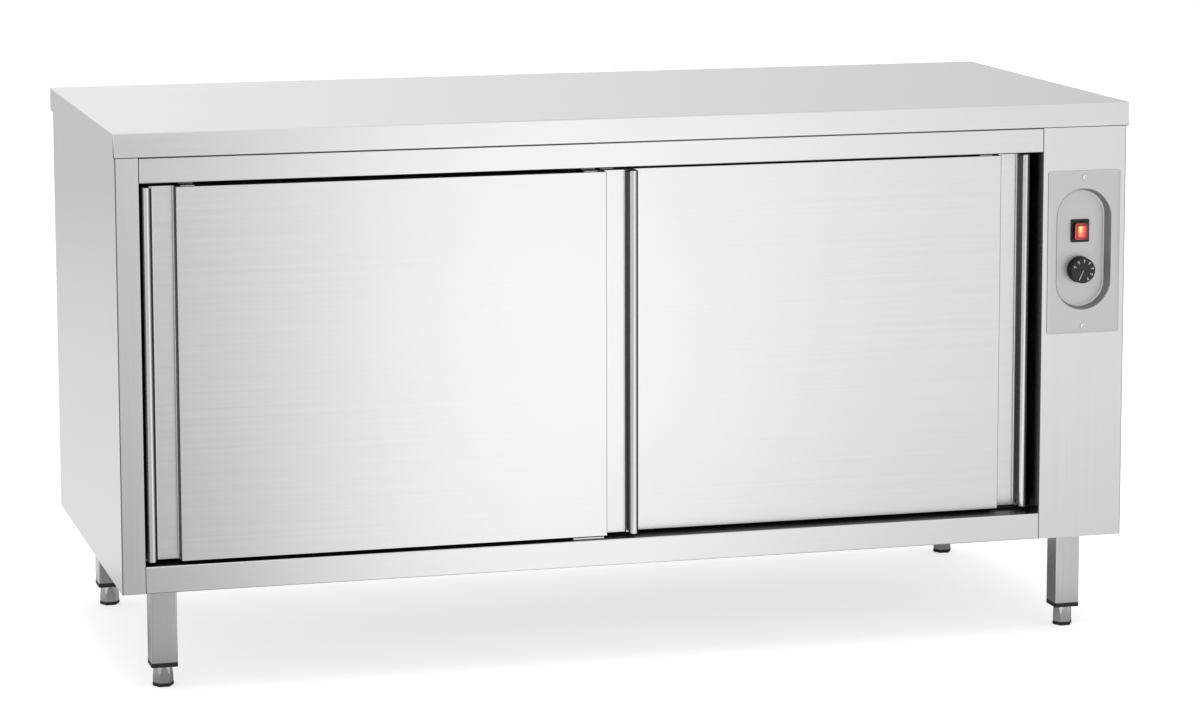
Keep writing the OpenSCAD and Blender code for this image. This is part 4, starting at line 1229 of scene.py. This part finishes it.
studio = {
    "worldLevel": 0.62,       # what the surroundings give to dull surfaces
    "overheadPower": 24.0,
    "floorTone": 0.86,
    "floorLift": 0.60,        # only for the camera's rays, so that the floor reads as white
    "mirrorLevel": 1.3,
    "twiceLevel": 0.24,       # share left where light has come off the steel twice or more
    "cornerLevel": 0.02,      # and where a square corner sends the view back to the camera
    "cornerTurn": (-30.0, 12.0),
    # what polished surfaces find round them: degrees from the front towards the right, and level
    "skyTones": (
        (-180, 0.74), (-110, 0.72), (-30, 0.70), (56, 0.60), (136, 0.50), (157, 0.51), (172, 0.72),
        (180, 0.74),
    ),
    "floorTones": (
        (-180, 0.74), (-150, 0.63), (-115, 0.60), (-92, 0.42), (-72, 0.66), (-44, 0.64), (-15, 0.47),
        (3, 0.40), (7, 0.38), (9, 0.42), (12, 0.83), (14.5, 0.96), (17, 0.85), (20, 0.67), (23, 0.62),
        (34, 0.48), (60, 0.38), (96, 0.31), (136, 0.33), (160, 0.52), (180, 0.74),
    ),
    "fanPoint": (-1.624, 5.377, 0.0),  # the tones on the floor in front fan out from here
    "paintedShadowLevel": 0.35,       # painted shadow: share left of the mirrored floor under the cabinet
}


# level of the surroundings in a direction from the object
def makeTones(name):
    inputs = [("Vector", "Vector", None), ("Middle", "Vector", None)]
    inputs += [("Level", "Float", 1.0), ("Bounces", "Float", 1.0)]
    group, given, out = newGroup(name, inputs, [("Tone", "Color")])
    parts = axes(group, given["Vector"])
    turn = math(group, "ARCTAN2", parts[0], times(group, parts[1], -1.0))
    share = remap(group, turn, -pi, pi, 0.0, 1.0)
    stops = [((angle + 180) / 360, grey(level)) for angle, level in studio[name]]
    first, last = [radians(angle) for angle in studio["cornerTurn"]]
    aside = axes(group, given["Middle"])
    around = math(group, "ARCTAN2", aside[0], times(group, aside[1], -1.0))
    entered = remap(group, around, first - 0.1, first, 0.0, 1.0)
    left = remap(group, around, last, last + 0.1, 1.0, 0.0)
    inside = times(group, entered, left)
    twice = remap(group, inside, 0.0, 1.0, studio["twiceLevel"], studio["cornerLevel"])
    kept = remap(group, given["Bounces"], 1.0, 2.0, 1.0, twice)
    level = times(group, given["Level"], kept)
    group.links.new(scaled(group, ramp(group, share, stops), level), out["Tone"])
    return group


def seenInMirror(tree):
    rays = addNode(tree, "ShaderNodeLightPath").outputs
    mirror = math(tree, "MAXIMUM", rays["Is Glossy Ray"], rays["Is Transmission Ray"])
    return rays["Is Camera Ray"], mirror, rays["Glossy Depth"]


def makeWorld(tones):
    world = bpy.data.worlds.new("studioWorld")
    scene.world = world
    world.use_nodes = True
    tree = world.node_tree
    tree.nodes.clear()
    camera, mirror, bounces = seenInMirror(tree)
    direction = addNode(tree, "ShaderNodeTexCoord").outputs["Generated"]
    given = {"Vector": direction, "Middle": direction, "Level": studio["mirrorLevel"], "Bounces": bounces}
    tone = placeGroup(tree, tones, **given)["Tone"]
    dull = blended(tree, mirror, (*grey(studio["worldLevel"]), 1), tone)
    white = blended(tree, camera, dull, (1, 1, 1, 1))
    back = addNode(tree, "ShaderNodeBackground", {"Color": white, "Strength": 1.0})
    addNode(tree, "ShaderNodeOutputWorld", {"Surface": back.outputs[0]})


def makeFloor(tones):
    material = bpy.data.materials.new("paleFloor")
    material.use_nodes = True
    tree = material.node_tree
    tree.nodes.clear()
    camera, mirror, bounces = seenInMirror(tree)
    paint = addNode(tree, "ShaderNodeBsdfDiffuse")
    paint.inputs["Color"].default_value = (*grey(studio["floorTone"]), 1)
    lift = addNode(tree, "ShaderNodeEmission")
    tree.links.new(times(tree, camera, studio["floorLift"]), lift.inputs["Strength"])
    shown = addNode(tree, "ShaderNodeAddShader", {0: paint.outputs[0], 1: lift.outputs[0]})
    place = objectPlace(tree)
    away = addNode(tree, "ShaderNodeVectorMath", {0: place}, operation="LENGTH").outputs["Value"]
    parts = axes(tree, place)
    front = remap(tree, parts[1], -0.20, -0.45, 0.0, 1.0)
    centre = scaled(tree, studio["fanPoint"], front)
    fanned = addNode(tree, "ShaderNodeVectorMath", {0: place, 1: centre}, operation="SUBTRACT")
    # painted shadow: the floor as the steel mirrors it is darker close in front of the cabinet and under
    # it
    ahead = times(tree, remap(tree, away, 0.8, 3.0, 0.84, 1.0), front)
    behind = times(tree, remap(tree, away, 1.2, 6.0, 1.0, 0.66), minus(tree, 1.0, front))
    shade = []
    for axis, reach in ((0, 0.80), (1, 0.35)):
        beyond = minus(tree, math(tree, "ABSOLUTE", parts[axis]), reach)
        shade.append(remap(tree, beyond, -0.10, 0.22, 0.0, 1.0))
    under = remap(tree, math(tree, "MAXIMUM", shade[0], shade[1]), 0.0, 1.0, studio["paintedShadowLevel"], 1.0)
    levelWithPaintedShadow = times(tree, plus(tree, ahead, behind), under)
    level = times(tree, levelWithPaintedShadow, studio["mirrorLevel"])
    given = {"Vector": fanned.outputs[0], "Middle": place, "Level": level, "Bounces": bounces}
    tone = placeGroup(tree, tones, **given)["Tone"]
    reflected = addNode(tree, "ShaderNodeEmission", {"Color": tone, "Strength": 1.0})
    mixed = addNode(tree, "ShaderNodeMixShader", {0: mirror, 1: shown.outputs[0], 2: reflected.outputs[0]})
    addNode(tree, "ShaderNodeOutputMaterial", {"Surface": mixed.outputs[0]})
    bm = bmesh.new()
    bmesh.ops.create_circle(bm, cap_ends=True, radius=40.0, segments=96)
    floor = fromBmesh("floor", bm)
    floor.data.materials.append(material)


def makeLamp(name, power, size, place, target):
    light = bpy.data.lights.new(name, "AREA")
    light.shape = "RECTANGLE"
    light.size, light.size_y = size
    light.energy = power
    lamp = bpy.data.objects.new(name, light)
    aim = (Vector(target) - Vector(place)).to_track_quat("-Z", "Y")
    lamp.matrix_world = Matrix.Translation(place) @ aim.to_matrix().to_4x4()
    lamp.visible_glossy = False  # the steel mirrors the surroundings and not the lamp
    scene.collection.objects.link(lamp)


def makeStudio():
    makeWorld(makeTones("skyTones"))
    makeFloor(makeTones("floorTones"))
    makeLamp("overheadBox", studio["overheadPower"], (3.2, 3.2), (0.0, -0.4, 3.4), (0.0, 0.0, 0.4))


makeCamera()
makeStudio()
print("studio ready")
for side in ("left", "right"):
    makeDoor(side)
for node in ("top_front_rail", "bottom_front_rail"):
    dressedNode(node, "railSteel", "X", rails["edge"], 2, (rails["seam"], 0.0, 0.0))
print("doors and rails made")
makeControlPlate()
makeSwitch()
makeKnob()
makeNumbers()
makeWedges()
print("controls made")
makeScrews()
makeFeet()
print("screws and feet made")
for node, (finish, along, edge) in dressing.items():
    dressedNode(node, finish, along, edge / 1000)
finishInner()
print("cabinet dressed")
